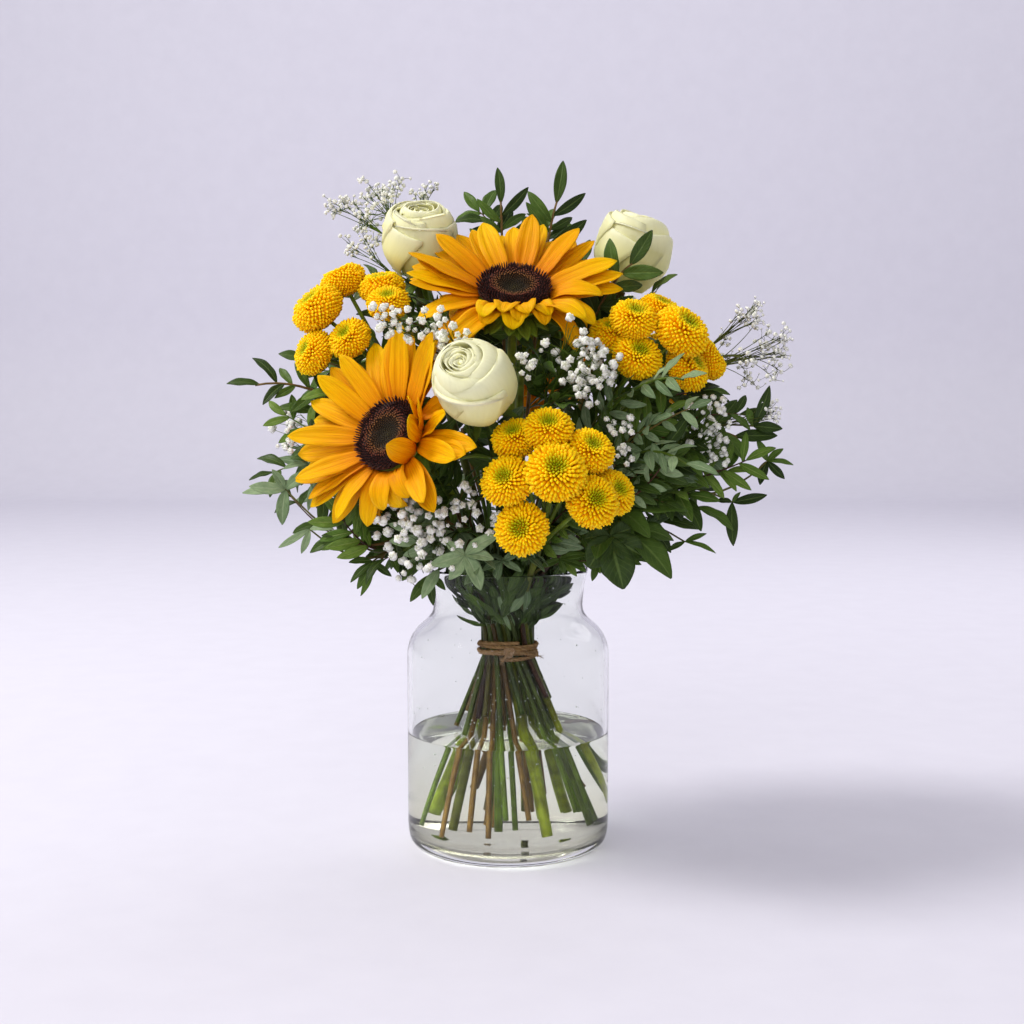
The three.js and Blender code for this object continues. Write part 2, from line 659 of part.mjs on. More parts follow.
MUMS.forEach((spray) => {
  const heads = spray.heads.map((head) => mumHead(toVec(head), mumFacing(spray, head), head[3]));
  addNode(`mum_${spray.name}_heads`, fuse(heads), 0xeeb211, 0.7);
});
SUNFLOWERS.forEach((flower, i) => {
  addNode(`sunflower_${flower.name}_stem`, sunflowerStem(flower, 60 + i), 0x5f7a3a, 0.6);
});
ROSES.forEach((rose, i) => addNode(`rose_${rose.name}_stem`, roseStem(rose, 70 + i), 0x4c6b39, 0.6));
MUMS.forEach((spray, i) => addNode(`mum_${spray.name}_stem`, mumStem(spray, 80 + i), 0x52713c, 0.65));

// ---------------------------------------------------------------- gypsophila and foliage
// Tries a stem's tip where it is wanted, then further to one side and the other, until it is clear.
function clearStem(stem, steps, thin) {
  const side = UP.clone().cross(stem.head).normalize();
  for (let k = 0; k < 14; k++) {
    const shift = Math.ceil(k / 2) * 5 * (k % 2 ? 1 : -1);
    for (const rise of [0, 8, -8]) {
      const head = along(stem.head, side, shift).addScaledVector(UP, rise);
      const made = stemTube(stem, steps, thin, head);
      if (isClear(made)) return made;
    }
  }
  console.log("no clear way for", stem.name);
  return stemTube(stem, steps, thin);
}

// A floret on its own thin stalk: one three-sided spindle, thin first, round at the end.
function floret(start, end, size) {
  const way = end.clone().sub(start);
  const reach = way.length();
  const basis = frameOf(start, way);
  const spindle = reshape(new THREE.SphereGeometry(1, 3, 4), (p) => {
    const row = Math.round((Math.acos(THREE.MathUtils.clamp(p.y, -1, 1)) / Math.PI) * 4);
    const [r, z] = [[0, 0], [0.6, 1.2], [0.6, reach - size], [size, reach], [0, reach + size]][row];
    const spoke = Math.hypot(p.x, p.z) || 1;
    p.set((p.x / spoke) * r, (p.z / spoke) * r, z);
  });
  return solid(spindle.applyMatrix4(basis));
}

function gypsophilaSpray(spray, seed) {
  const main = clearStem(spray.stem, 4, 0.75);
  const parts = [main];
  for (let i = 0; i < spray.florets; i++) {
    const share = 0.72 + 0.28 * Math.sqrt((i + 0.5) / spray.florets);
    const { place: start, ahead } = onStem(spray.stem, Math.min(share, 0.98));
    const angle = i * 2.39996;
    const basis = frameOf(start, ahead);
    const open = 0.35 + 0.9 * chance(i, seed);
    const way = vec(Math.cos(angle) * Math.sin(open), Math.sin(angle) * Math.sin(open), Math.cos(open));
    const reach = spray.reach * (0.55 + 0.45 * chance(i, seed + 1));
    const end = along(start, way.transformDirection(basis), reach);
    const made = floret(start, end, FLORET_R);
    if (isClear(made)) parts.push(made);
  }
  return fuse(parts);
}

function leafyStem(frond, seed) {
  const main = clearStem(frond.stem, 4, 0.5);
  const parts = [main];
  const [length, width] = frond.leaf;
  const outward = vec(0.004 * frond.tip[0], frond.tip[1] < 50 ? -1 : 1, 0.7);
  const leaf = (share, side, i) => {
    const { place: start, ahead } = onStem(frond.stem, share);
    const across = ahead.clone().cross(outward).normalize();
    const up = across.clone().cross(ahead);
    for (const lift of [0.15, 0.5, -0.3, 0.9, -0.7]) {
      const way = ahead.clone().multiplyScalar(side ? 0.62 : 1).addScaledVector(across, side * 0.8);
      way.addScaledVector(up, side ? lift : 0);
      const size = 0.85 + 0.3 * chance(i, seed);
      const bend = -0.25 - 0.5 * chance(i, seed + 1);
      const shape = { length: length * size, width: width * size, from: 0.15, to: bend };
      const made = blade(start, way, up, shape);
      if (isClear(made)) return parts.push(made);
      if (!side) return 0;
    }
    return 0;
  };
  leaf(0.985, 0, 99);
  for (let i = 0; i < frond.pairs; i++) {
    const share = 0.93 - (i * 0.42) / frond.pairs;
    leaf(share, 1, 2 * i);
    leaf(share - 0.025, -1, 2 * i + 1);
  }
  return fuse(parts);
}

GYPSOPHILA.forEach((spray, i) => {
  addNode(`gypsophila_${spray.name}`, gypsophilaSpray(spray, 90 + 3 * i), 0xf1f2ee, 0.8);
});
FOLIAGE.forEach((frond, i) => {
  addNode(`foliage_${frond.name}`, leafyStem(frond, 120 + 3 * i), frond.colour, 0.6);
});

// ---------------------------------------------------------------- water
// The water fills the vase up to its level, with a plain hole round each stem.
function water() {
  const inside = BODY_R - WALL - GAP;
  const bottom = FLOOR_Z + GAP;
  const profile = [[0, bottom], [FOOT_R - 0.6, bottom], [inside, 16.3], [inside, WATER_Z], [0, WATER_Z]];
  let filled = solid(turned(profile, VASE_SIDES));
  for (const stem of stems) {
    const top = lowerPoint(stem.bind, BIND_Z - WATER_Z - 3);
    const foot = lowerPoint(stem.bind, stem.foot);
    const down = foot.clone().sub(top).normalize();
    const radius = stem.radius + GAP / Math.cos(Math.PI / stem.sides) + 0.1;
    const hole = tube([along(foot, down, 0.5), top], [radius, radius], stem.sides);
    filled = filled.subtract(solid(hole));
  }
  return filled;
}
addNode("water", water(), 0xdfe4cf, 0.05, { transparent: true, opacity: 0.5 });

export default root;
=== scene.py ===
# %% [markdown]
# # Sunflowers, white roses and button chrysanthemums in a glass vase
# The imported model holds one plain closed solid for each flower, stem, leafy shoot, the twine, the
# water and the glass. This lesson dresses every one of them with petals, leaves, fibres and clear
# glass that follow the same rules of growth, so that each looks right from every side.

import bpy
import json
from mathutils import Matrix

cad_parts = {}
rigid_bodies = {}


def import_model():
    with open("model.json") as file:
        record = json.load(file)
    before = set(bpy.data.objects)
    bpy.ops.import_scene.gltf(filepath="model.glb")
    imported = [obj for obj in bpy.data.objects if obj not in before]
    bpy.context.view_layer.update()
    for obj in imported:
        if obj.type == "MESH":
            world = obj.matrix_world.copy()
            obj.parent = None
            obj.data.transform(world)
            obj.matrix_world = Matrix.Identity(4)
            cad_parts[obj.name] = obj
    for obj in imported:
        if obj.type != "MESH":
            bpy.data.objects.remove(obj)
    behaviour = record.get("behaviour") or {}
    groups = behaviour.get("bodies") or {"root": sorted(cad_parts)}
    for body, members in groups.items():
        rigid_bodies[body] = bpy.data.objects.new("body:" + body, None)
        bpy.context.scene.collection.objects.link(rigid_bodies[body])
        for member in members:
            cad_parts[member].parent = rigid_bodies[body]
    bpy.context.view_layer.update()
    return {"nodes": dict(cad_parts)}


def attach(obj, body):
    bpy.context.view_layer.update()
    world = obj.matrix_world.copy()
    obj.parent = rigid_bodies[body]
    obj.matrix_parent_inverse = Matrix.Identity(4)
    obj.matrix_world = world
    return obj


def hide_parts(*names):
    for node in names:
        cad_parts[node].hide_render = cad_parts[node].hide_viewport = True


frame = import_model()

# %% Tools and units
import json
import math

import bmesh
import bpy
import numpy as np
from mathutils import Vector
from mathutils.kdtree import KDTree

MM = 0.001  # the tables are in millimetres, and a finished mesh is in metres
UP = np.array([0.0, 0.0, 1.0])
GOLDEN = math.pi * (3 - math.sqrt(5))  # the angle from one seed, floret or petal to the next
TURN = 2 * math.pi


def unit(v):
    """The same direction with a length of 1."""
    v = np.asarray(v, float)
    return v / np.linalg.norm(v)


def chance(i, j):
    """A fixed number from 0 to 1 that belongs to repeat i of feature j."""
    s = math.sin(i * 12.9898 + j * 78.233) * 43758.5453
    return s - math.floor(s)


def frame_of(facing, turn=0.0):
    """Three axes in rows: one across, one upward, and the direction that a flower faces."""
    axis = unit(facing)
    across = unit(np.cross(UP, axis))
    spun = across * math.cos(turn) + np.cross(axis, across) * math.sin(turn)
    return np.array([spun, np.cross(axis, spun), axis])


def spoke(rows, angle):
    """The direction at an angle round the axis of such a frame."""
    return rows[0] * math.cos(angle) + rows[1] * math.sin(angle)


def pulled(start, pull, end, steps):
    """A curve from start to end that is pulled towards a third point."""
    t = np.linspace(0, 1, steps)[:, None]
    return (1 - t) ** 2 * start + 2 * t * (1 - t) * pull + t * t * end


def bent(start, way, end, steps):
    """A twig that leaves one way and ends at a point."""
    return pulled(start, start + unit(way) * np.linalg.norm(end - start) * 0.5, end, steps)


def headings(path):
    """The direction of a path at each of its points."""
    ahead = np.gradient(path, axis=0)
    return ahead / np.linalg.norm(ahead, axis=1)[:, None]


# %% [markdown]
# ## The camera, the light and the floor
# The photograph looks slightly down on the vase from about a metre away. One large soft lamp at the
# upper left gives the long soft shadow to the right. A second lamp and a pale sky fill the front,
# because small bright lamps would make hard spots on the glass, and a weak lamp reaches the back. The
# floor bends up behind into a wall with a lamp of its own, so that no horizon line shows.

# %% Camera
CAMERA_PLACE, CAMERA_DIPS, LENS = (0.00275, -1.101, 0.3264), 0.085, 56.25  # metres, radians, millimetres
camera = bpy.data.objects.new("camera", bpy.data.cameras.new("camera"))
camera.location = CAMERA_PLACE
camera.rotation_euler = (math.pi / 2 - CAMERA_DIPS, 0, 0)
camera.data.lens = LENS
bpy.context.collection.objects.link(camera)
bpy.context.scene.camera = camera


# %% Lamps and sky
LOOK_AT = Vector((0, 0, 0.22))  # the middle of the bouquet, in metres
WALL_FOOT = Vector((0.4, 3.3, 0.5))


def soft_lamp(name, place, size, power, colour, mirrored=True, aim=LOOK_AT, wide=1.0):
    """A soft lamp that is turned to a point. Gloss mirrors it or not."""
    lamp = bpy.data.objects.new(name, bpy.data.lights.new(name, "AREA"))
    lamp.data.shape, lamp.data.size, lamp.data.size_y = "RECTANGLE", size * wide, size
    lamp.data.energy, lamp.data.color = power, colour
    lamp.location, lamp.visible_glossy = place, mirrored
    lamp.rotation_euler = (aim - lamp.location).to_track_quat("-Z", "Y").to_euler()
    bpy.context.collection.objects.link(lamp)


soft_lamp("window_lamp", (-1.9, -0.25, 2.6), 1.05, 72, (1.0, 0.98, 0.94))
soft_lamp("front_lamp", (-0.6, -2.1, 1.2), 1.8, 24, (1.0, 0.98, 0.96), False)
soft_lamp("back_lamp", (1.2, 1.3, 1.5), 1.2, 8, (1.0, 0.98, 0.97), False)
soft_lamp("wall_lamp", (0.4, 1.5, 2.6), 2.4, 37, (1.0, 0.99, 1.0), False, WALL_FOOT, 2.4)

sky = bpy.data.worlds.new("pale_sky")
sky.use_nodes = True
pale = sky.node_tree.nodes["Background"].inputs
pale["Color"].default_value = (0.76, 0.75, 0.78, 1)
pale["Strength"].default_value = 0.46
bpy.context.scene.world = sky
bpy.context.scene.view_settings.view_transform = "Standard"
print("camera", tuple(camera.location), "and", len(bpy.data.lights), "lamps")

# %% [markdown]
# ## Finishes
# Every finish starts from one Principled shader. A finish reads either the place on the object, the
# map called along, which runs over each petal, leaf and stem from root to tip, or the number called
# tint, which each petal or leaf has for itself, so that no two look the same.


# %% A finish and the nodes that feed it
class Finish:
    """A material being mixed. Its methods each add one node and give its output."""

    def __init__(self, name, **sockets):
        self.material = bpy.data.materials.new(name)
        self.material.use_nodes = True
        self.tree = self.material.node_tree
        self.shader = self.tree.nodes["Principled BSDF"]
        for socket, value in sockets.items():
            self.shader.inputs[socket.replace("_", " ")].default_value = value
        print("finish", name)

    def add(self, kind, feeds=(), **settings):
        made = self.tree.nodes.new("ShaderNode" + kind)
        for key, value in settings.items():
            setattr(made, key, value)
        for socket, value in dict(feeds).items():
            self.feed(made.inputs[socket], value)
        return made

    def feed(self, socket, value):
        if isinstance(value, bpy.types.NodeSocket):
            self.tree.links.new(value, socket)
        else:
            socket.default_value = value

    def place(self):
        return self.add("TexCoord").outputs["Object"]

    def along(self, across=1.0, length=1.0):
        """The map over a petal or leaf, stretched, and shifted by the petal's own tint."""
        uv = self.add("UVMap", uv_map="along").outputs["UV"]
        scaled = {0: uv, 1: (across, length, 1.0), 2: self.maths("MULTIPLY", self.tint(), 37.0)}
        return self.add("VectorMath", scaled, operation="MULTIPLY_ADD").outputs[0]

    def height(self):
        """How high a point stands above the floor, in metres."""
        return self.add("SeparateXYZ", {0: self.place()}).outputs[2]

    def share(self, axis):
        """How far across (0) or along (1) the petal, leaf or stem a point lies, from 0 to 1."""
        uv = self.add("UVMap", uv_map="along").outputs["UV"]
        return self.add("SeparateXYZ", {0: uv}).outputs[axis]

    def tint(self):
        return self.add("Attribute", attribute_name="tint").outputs["Fac"]

    def maths(self, operation, a, b=0.0):
        return self.add("Math", {0: a, 1: b}, operation=operation).outputs[0]

    def noise(self, size, vector=None, detail=3.0, rough=0.55):
        """Cloudy noise from 0 to 1 whose patches are about size millimetres, or 1 unit of vector."""
        scale = 1.0 if vector else 1 / (size * MM)
        feeds = {"Vector": vector or self.place(), "Scale": scale, "Detail": detail, "Roughness": rough}
        return self.add("TexNoise", feeds).outputs["Fac"]

    def ramp(self, factor, stops):
        """A colour band: stops are (place, colour) pairs."""
        made = self.add("ValToRGB", {0: factor})
        band = made.color_ramp.elements
        for at, colour in stops[1:-1]:
            band.new(at).color = (*colour, 1)
        for element, (at, colour) in ((band[0], stops[0]), (band[-1], stops[-1])):
            element.position, element.color = at, (*colour, 1)
        return made.outputs["Color"]

    def mix(self, factor, a, b, blend="MIX"):
        a, b = [(*c, 1) if isinstance(c, tuple) else c for c in (a, b)]
        feeds = {0: factor, 6: a, 7: b}
        return self.add("Mix", feeds, data_type="RGBA", blend_type=blend).outputs[2]

    def colour(self, socket):
        self.feed(self.shader.inputs["Base Color"], socket)
        return self

    def rough(self, factor, low, high):
        feeds = {0: factor, 3: low, 4: high}
        self.feed(self.shader.inputs["Roughness"], self.add("MapRange", feeds).outputs[0])
        return self

    def bump(self, height, depth):
        """Raises the surface by height, where 1 stands for depth millimetres."""
        made = self.add("Bump", {"Height": height, "Distance": depth * MM, "Strength": 1.0})
        self.feed(self.shader.inputs["Normal"], made.outputs[0])
        return self


def clear_to_lamps(finish, tinge=(1, 1, 1, 1)):
    """Lets lamps shine straight through a glassy finish, which then casts only a faint shadow."""
    output = finish.tree.nodes["Material Output"]
    path = finish.add("LightPath").outputs["Is Shadow Ray"]
    clear = finish.add("BsdfTransparent", {"Color": tinge}).outputs[0]
    blend = finish.add("MixShader", {0: path, 1: finish.shader.outputs[0], 2: clear})
    finish.tree.links.new(blend.outputs[0], output.inputs["Surface"])
    return finish


# %% The floor that bends into a wall
def floor_sweep():
    """A broad sheet of paper in metres: flat under the vase, bent up behind it into a wall."""
    front, bend, back, side, top = -3.0, 0.5, 3.5, 6.0, 5.0
    line = [(front, 0.0), (0.0, 0.0), (back - bend, 0.0)]
    for angle in np.linspace(0.1, 1.57, 16):
        line.append((back - bend * (1 - math.sin(angle)), bend * (1 - math.cos(angle))))
    line.append((back, top))
    bm = bmesh.new()
    chain = [bm.verts.new((-side, y, z)) for y, z in line]
    edges = [bm.edges.new(pair) for pair in zip(chain, chain[1:])]
    grown = bmesh.ops.extrude_edge_only(bm, edges=edges)["geom"]
    moved = [part for part in grown if isinstance(part, bmesh.types.BMVert)]
    bmesh.ops.translate(bm, verts=moved, vec=(2 * side, 0, 0))
    mesh = bpy.data.meshes.new("floor_sweep")
    bm.to_mesh(mesh)
    bm.free()
    mesh.polygons.foreach_set("use_smooth", [True] * len(mesh.polygons))
    return bpy.data.objects.new("floor_sweep", mesh)


paper = Finish("lavender_paper", Roughness=0.7)
paper.colour(paper.ramp(paper.noise(40), [(0.3, (0.705, 0.69, 0.785)), (0.7, (0.725, 0.71, 0.805))]))
floor = floor_sweep()
floor.data.materials.append(paper.material)
bpy.context.collection.objects.link(floor)
print("floor of", len(floor.data.polygons), "faces")

# %% [markdown]
# ## Stamps
# A petal, a leaf, a seed or a length of stem is one small template made once with bmesh operators: a
# flat closed slab, or a grid that is rolled into a rod. Each copy is stamped into its piece with its
# points bent to shape, which is quick and gives every copy its own map and tint.


# %% Templates
def templated(bm):
    """Keeps a small bmesh as a mesh with its points beside it."""
    mesh = bpy.data.meshes.new("template")
    bm.to_mesh(mesh)
    bm.free()
    mesh.attributes.new("tint", "FLOAT", "POINT")
    points = np.empty(len(mesh.vertices) * 3)
    mesh.vertices.foreach_get("co", points)
    return mesh, points.reshape(-1, 3)


def mapped_grid(columns, rows):
    """A flat grid, 0 to 1 both ways, with the map called along over it."""
    bm = bmesh.new()
    bmesh.ops.create_grid(bm, x_segments=columns, y_segments=rows, size=0.5)
    bmesh.ops.translate(bm, verts=bm.verts, vec=(0.5, 0.5, 0))
    layer = bm.loops.layers.uv.new("along")
    for face in bm.faces:
        for loop in face.loops:
            loop[layer].uv = loop.vert.co.xy
    return bm


def slab(columns, rows):
    """A flat closed blade: x across from 0 to 1, y from root to tip, z 0 below and 1 above."""
    bm = mapped_grid(columns, rows)
    grown = bmesh.ops.extrude_face_region(bm, geom=bm.faces[:], use_keep_orig=True)["geom"]
    upper = [part for part in grown if isinstance(part, bmesh.types.BMVert)]
    bmesh.ops.translate(bm, verts=upper, vec=(0, 0, 1))
    bmesh.ops.recalc_face_normals(bm, faces=bm.faces)
    layer = bm.loops.layers.uv["along"]
    for face in bm.faces:
        for loop in face.loops:
            loop[layer].uv = loop.vert.co.xy
    return templated(bm)


RODS = {}


def rod(sides, rows):
    """A closed rod of radius 1 round z, from 0 to 1."""
    if (sides, rows) not in RODS:
        bm = mapped_grid(sides, rows)
        for vertex in bm.verts:
            turn, height = vertex.co.x * TURN, vertex.co.y
            vertex.co = (math.cos(turn), math.sin(turn), height)
        bmesh.ops.remove_doubles(bm, verts=bm.verts, dist=1e-4)
        bmesh.ops.holes_fill(bm, edges=bm.edges, sides=sides)
        bmesh.ops.recalc_face_normals(bm, faces=bm.faces)
        RODS[sides, rows] = templated(bm)
    return RODS[sides, rows]


# %% Stamping and finishing
def new_piece():
    """An empty bmesh that can hold a map and a tint."""
    bm = bmesh.new()
    bm.verts.layers.float.new("tint")
    bm.loops.layers.uv.new("along")
    return bm


def stamp(piece, template, points, tint=0.0):
    """Adds a copy of a template with its points moved, and with its own tint."""
    mesh = template[0]
    mesh.vertices.foreach_set("co", points.astype(np.float32).ravel())
    tints = np.broadcast_to(np.asarray(tint, np.float32), len(points))
    mesh.attributes["tint"].data.foreach_set("value", np.ascontiguousarray(tints))
    piece.from_mesh(mesh)


def sweep(piece, path, radii, sides=8, tint=0.0):
    """A round bar along a path, with its own radius at each point."""
    path = np.asarray(path, float)
    ahead = headings(path)
    side = UP if abs(ahead[0][2]) < 0.9 else np.array([1.0, 0, 0])
    sides_along = []
    for direction in ahead:
        side = unit(side - direction * side.dot(direction))
        sides_along.append(side)
    template = rod(sides, len(path) - 1)
    x, y, z = template[1].T
    row = np.round(z * (len(path) - 1)).astype(int)
    first = np.array(sides_along)[row]
    second = np.cross(ahead[row], first)
    wide = np.broadcast_to(np.asarray(radii, float), len(path))[row]
    points = path[row] + first * (x * wide)[:, None] + second * (y * wide)[:, None]
    stamp(piece, template, points, tint)


def finish(name, piece, material, slot, *nodes):
    """Turns a bmesh in millimetres into a piece in metres that rides on the model."""
    bmesh.ops.scale(piece, vec=(MM, MM, MM), verts=piece.verts)
    mesh = bpy.data.meshes.new(name)
    piece.to_mesh(mesh)
    piece.free()
    mesh.polygons.foreach_set("use_smooth", [True] * len(mesh.polygons))
    mesh.materials.append(material)
    made = bpy.data.objects.new(name, mesh)
    bpy.context.collection.objects.link(made)
    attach(made, "root")
    if nodes:
        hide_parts(*nodes)
    print(name, "has", len(mesh.polygons), "faces")
    return made


# %% [markdown]
# ## The glass vase
# The vase is a straight cylinder with a soft shoulder, a drawn-in neck and a flared lip, blown in one
# piece over a thick base. A turned profile is the natural way to make it: the outline goes up outside
# and down inside, its corners are rounded, and one full spin closes the wall. Real glass is a little
# uneven, so a faint wide ripple moves the reflections.

# %% Rounded profiles
VASE_OUTSIDE = [
    (0, 0.6), (52, 0.6), (55, 0), (62, 0), (68, 4), (70, 12), (70, 140), (65, 151), (54.3, 160), (51.3, 166),
    (52.7, 182), (55.75, 194), (54.15, 195),
]
VASE_INSIDE = [
    (52.75, 193.4), (48.3, 166), (51.3, 158), (63, 149), (67, 139), (67, 16), (62, 7.4), (40, 6.6), (0, 7),
]


def rounded(line, reach, steps=5):
    """Rounds every corner of a profile, starting at most reach before it."""
    line = [np.array(p, float) for p in line]
    made = [line[0]]
    for before, corner, after in zip(line, line[1:], line[2:]):
        arms = [other - corner for other in (before, after)]
        ends = [corner + arm * min(0.5, reach / np.linalg.norm(arm)) for arm in arms]
        for t in np.linspace(0, 1, steps):
            made.append((1 - t) ** 2 * ends[0] + 2 * t * (1 - t) * corner + t * t * ends[1])
    return made + [line[-1]]


def turned(piece, line, steps):
    """Spins a profile of radius and height round the vertical axis into a closed solid."""
    chain = [piece.verts.new((r, 0, z)) for r, z in line]
    edges = [piece.edges.new(pair) for pair in zip(chain, chain[1:])]
    bmesh.ops.spin(
        piece, geom=chain + edges, cent=(0, 0, 0), axis=(0, 0, 1), dvec=(0, 0, 0), angle=TURN,
        steps=steps, use_merge=True, use_normal_flip=False, use_duplicate=False,
    )
    bmesh.ops.remove_doubles(piece, verts=piece.verts, dist=1e-4)
    bmesh.ops.recalc_face_normals(piece, faces=piece.faces)


# %% Glass and water
glass = Finish("clear_glass", IOR=1.27, Specular_Tint=(0.5, 0.5, 0.5, 1), Transmission_Weight=1.0)
glass.feed(glass.shader.inputs["Base Color"], (0.94, 0.955, 0.935, 1))
glass.rough(glass.noise(30), 0.0, 0.02)
glass.bump(glass.noise(45, detail=1.0), 0.12)
clear_to_lamps(glass, (0.93, 0.945, 0.945, 1))

vase = new_piece()
turned(vase, rounded(VASE_OUTSIDE + VASE_INSIDE, 6), 144)
finish("blown_glass_vase", vase, glass.material, "vase_glass", "glass_vase")

# %% [markdown]
# The water meets the wall in a small raised edge, and reaches a hair into the glass, so that no film
# of air shows between them. A trace of green and beige is in its colour, as in water that has held
# stems for a day.

# %% The water and its raised edge
WATER_Z = 80
WATER_LINE = [
    (0, 6.8), (40, 6.5), (62.1, 7.2), (67.25, 16),
    (67.25, WATER_Z + 1.3), (66.3, WATER_Z + 0.5), (64.6, WATER_Z + 0.05), (0, WATER_Z),
]
water_finish = Finish("vase_water", IOR=1.333, Transmission_Weight=1.0, Roughness=0.0)
level = water_finish.maths("DIVIDE", water_finish.height(), WATER_Z * MM)
level = water_finish.maths("ADD", level, water_finish.maths("MULTIPLY", water_finish.noise(30), 0.2))
water_finish.colour(water_finish.ramp(level, [
    (0.1, (0.90, 0.86, 0.66)), (0.45, (0.92, 0.91, 0.76)), (1.0, (0.93, 0.95, 0.87))]))
clear_to_lamps(water_finish, (0.95, 0.96, 0.93, 1))
water = new_piece()
turned(water, rounded(WATER_LINE, 2, 4), 144)
finish("vase_water", water, water_finish.material, "water", "water")

# %% [markdown]
# ## Where everything grows
# The tables give each flower's centre and the way it faces, and each spray's or shoot's tip, in
# millimetres. The stems are packed into a bundle inside the twine, each near the side that its flower
# leans to, and turn together like a screw below it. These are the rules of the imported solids, so
# every detailed piece lies where its solid is. Where a rule tries several places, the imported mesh
# itself says which one was taken: the one whose points are found on it.

# %% The flowers' tables
SUNFLOWERS = [
    {"name": "left", "centre": (-73, -91, 288), "facing": (-0.54, -0.74, 0.4), "turn": 0.1, "petals": 12,
     "curls": [(-0.5, 0.16, 1.5, 1.2, 0.52), (0.32, 0.3, 1.3, 0.1, 0.6), (0.85, 0.25, 0.8, 0.1, 0.9),
               (-1.2, 0.42, 1.0, -2.0, 0.6), (-1.9, 0.3, 0.45, -0.6, 0.8)]},
    {"name": "top", "centre": (4, -55, 380), "facing": (0.03, -0.59, 0.81), "turn": 0.3, "petals": 12,
     "curls": [(-1.57, 0.66, 2.0, -2.7, 0.48), (-2.55, 0.35, 0.4, -0.7, 0.85), (-0.5, 0.4, 0.9, -1.4, 0.75)]},
    {"name": "back", "centre": (12, 88, 352), "facing": (0.1, 0.84, 0.53), "turn": 0.2, "petals": 9,
     "curls": [(-1.4, 0.5, 0.6, -1.4, 0.8)]},
]
ROSES = [
    {"name": "centre", "centre": (-19, -118, 321), "facing": (-0.18, -0.78, 0.6), "size": 0.98, "turn": 0.4,
     "opens": (2.9, 7)},
    {"name": "left", "centre": (-60, -1, 418), "facing": (0.04, -0.42, 0.9), "size": 1.0, "turn": 1.5,
     "opens": (-1.4, 4)},
    {"name": "right", "centre": (87, 30, 413), "facing": (0.26, -0.16, 0.94), "size": 1.04, "turn": 2.6,
     "opens": (2.4, 3)},
]
MUMS = [
    {"name": "left", "fork": (-74, -18, 322), "heads": [
        (-125, -34, 370, 18.8), (-110, -18, 389, 16), (-127, -42, 341, 16), (-103, -48, 350, 15.3),
        (-84, -25, 384, 16), (-78, -46, 373, 14.8)]},
    {"name": "centre", "fork": (24, -76, 232), "heads": [
        (29, -141, 268, 19.4), (0, -130, 262, 16.8), (50, -123, 280, 16), (25, -124, 293, 16.2),
        (5, -112, 287, 15.4), (51, -133, 250, 17.2), (64.5, -113, 254, 15.6), (9, -131, 233.5, 17.2)]},
    {"name": "right", "fork": (66, -25, 304), "heads": [
        (112, -59, 354, 19.4), (81, -62, 362, 16.4), (99, -41, 368, 15), (83, -64, 338, 17),
        (117, -46, 331, 17), (133, -25, 337, 15.4), (68, -47, 352, 15.6)]},
    {"name": "back", "fork": (76, 50, 292), "heads": [
        (116, 80, 344, 17.4), (100, 96, 330, 16.4), (119, 76, 320, 17)]},
]
GYPSOPHILA = [
    ("top_left", (-86, 22, 432), 44, 11), ("right", (160, -4, 340), 44, 11),
    ("middle_left", (-44, -84, 345), 26, 10), ("middle_right", (44, -84, 334), 30, 11),
    ("lower_left", (-52, -92, 222), 34, 10), ("back", (-26, 116, 330), 40, 9),
]
FOLIAGE = [  # name, tip, pairs of leaves, leaf length and width, kind
    ("top_left", (-5, 12, 446), 4, (27, 9), "dark"), ("top_right", (34, 20, 447), 4, (30, 10.5), "dark"),
    ("before_rose", (82, -38, 400), 3, (27, 12), "dark"),
    ("left_high", (-170, -22, 320), 4, (25, 10), "dark"),
    ("left_mid", (-138, -2, 336), 3, (24, 10), "dark"), ("left_broad", (-138, -38, 254), 3, (38, 17), "grey"),
    ("left_low", (-84, -62, 204), 4, (28, 11), "dark"), ("over_rim", (-45, -82, 200), 3, (27, 11), "grey"),
    ("grey_high", (110, -98, 324), 4, (22, 9), "grey"), ("grey_low", (114, -98, 270), 4, (22, 9), "grey"),
    ("right_dark", (158, -6, 284), 4, (30, 12), "dark"), ("right_low", (130, -26, 236), 4, (28, 12), "dark"),
    ("lobed", (72, -66, 236), 1, (50, 26), "lobed"), ("back_left", (-120, 86, 296), 3, (32, 13), "dark"),
    ("back_right", (124, 72, 262), 3, (32, 13), "dark"),
]
print(len(SUNFLOWERS), "sunflowers,", len(ROSES), "roses,", len(MUMS), "sprays of buttons,",
      len(GYPSOPHILA), "of gypsophila, and", len(FOLIAGE), "leafy shoots")

# %% Stems in their bundle
BIND_Z, BUNDLE_R = 139, 17.9
TWINE_HALF = 7  # the stems are held straight for this much above and below the twine's middle
COARSE, SMOOTH = 4, 28  # steps in an upper stem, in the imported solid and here
STEM_SPREAD, STEM_TWIST, STEM_FOOT_R = 0.0195, 0.019, 60
CALYX_DEPTH, ROSE_DEPTH, DISC_R = 12, 27, 23.5
VASE_FLOOR = 7
ON_IT = 1.2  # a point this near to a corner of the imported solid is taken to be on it


class Stem:
    """A stem from the water up to its head, which it meets along facing, with a bow that long."""

    def __init__(self, name, radius, head, facing, bow):
        self.name, self.radius, self.bow = name, radius, bow
        self.head, self.facing = np.array(head, float), unit(facing)


def high(tip):
    """How high a tip is in the bouquet, from 0 at the rim to 1 at the top."""
    return min(1, max(0, (tip[2] - 180) / 290))


def frond_stem(name, radius, tip):
    """A leafy stem rises first and arches over, the lower its tip the more so."""
    crest = np.array((tip[0] * 0.6, tip[1] * 0.6, tip[2] + 75 - 125 * high(tip)))
    bow = np.linalg.norm((tip[0] * 0.4, tip[1] * 0.4, -75 + 125 * high(tip)))
    return Stem(name, radius, tip, np.array(tip, float) - crest, bow)


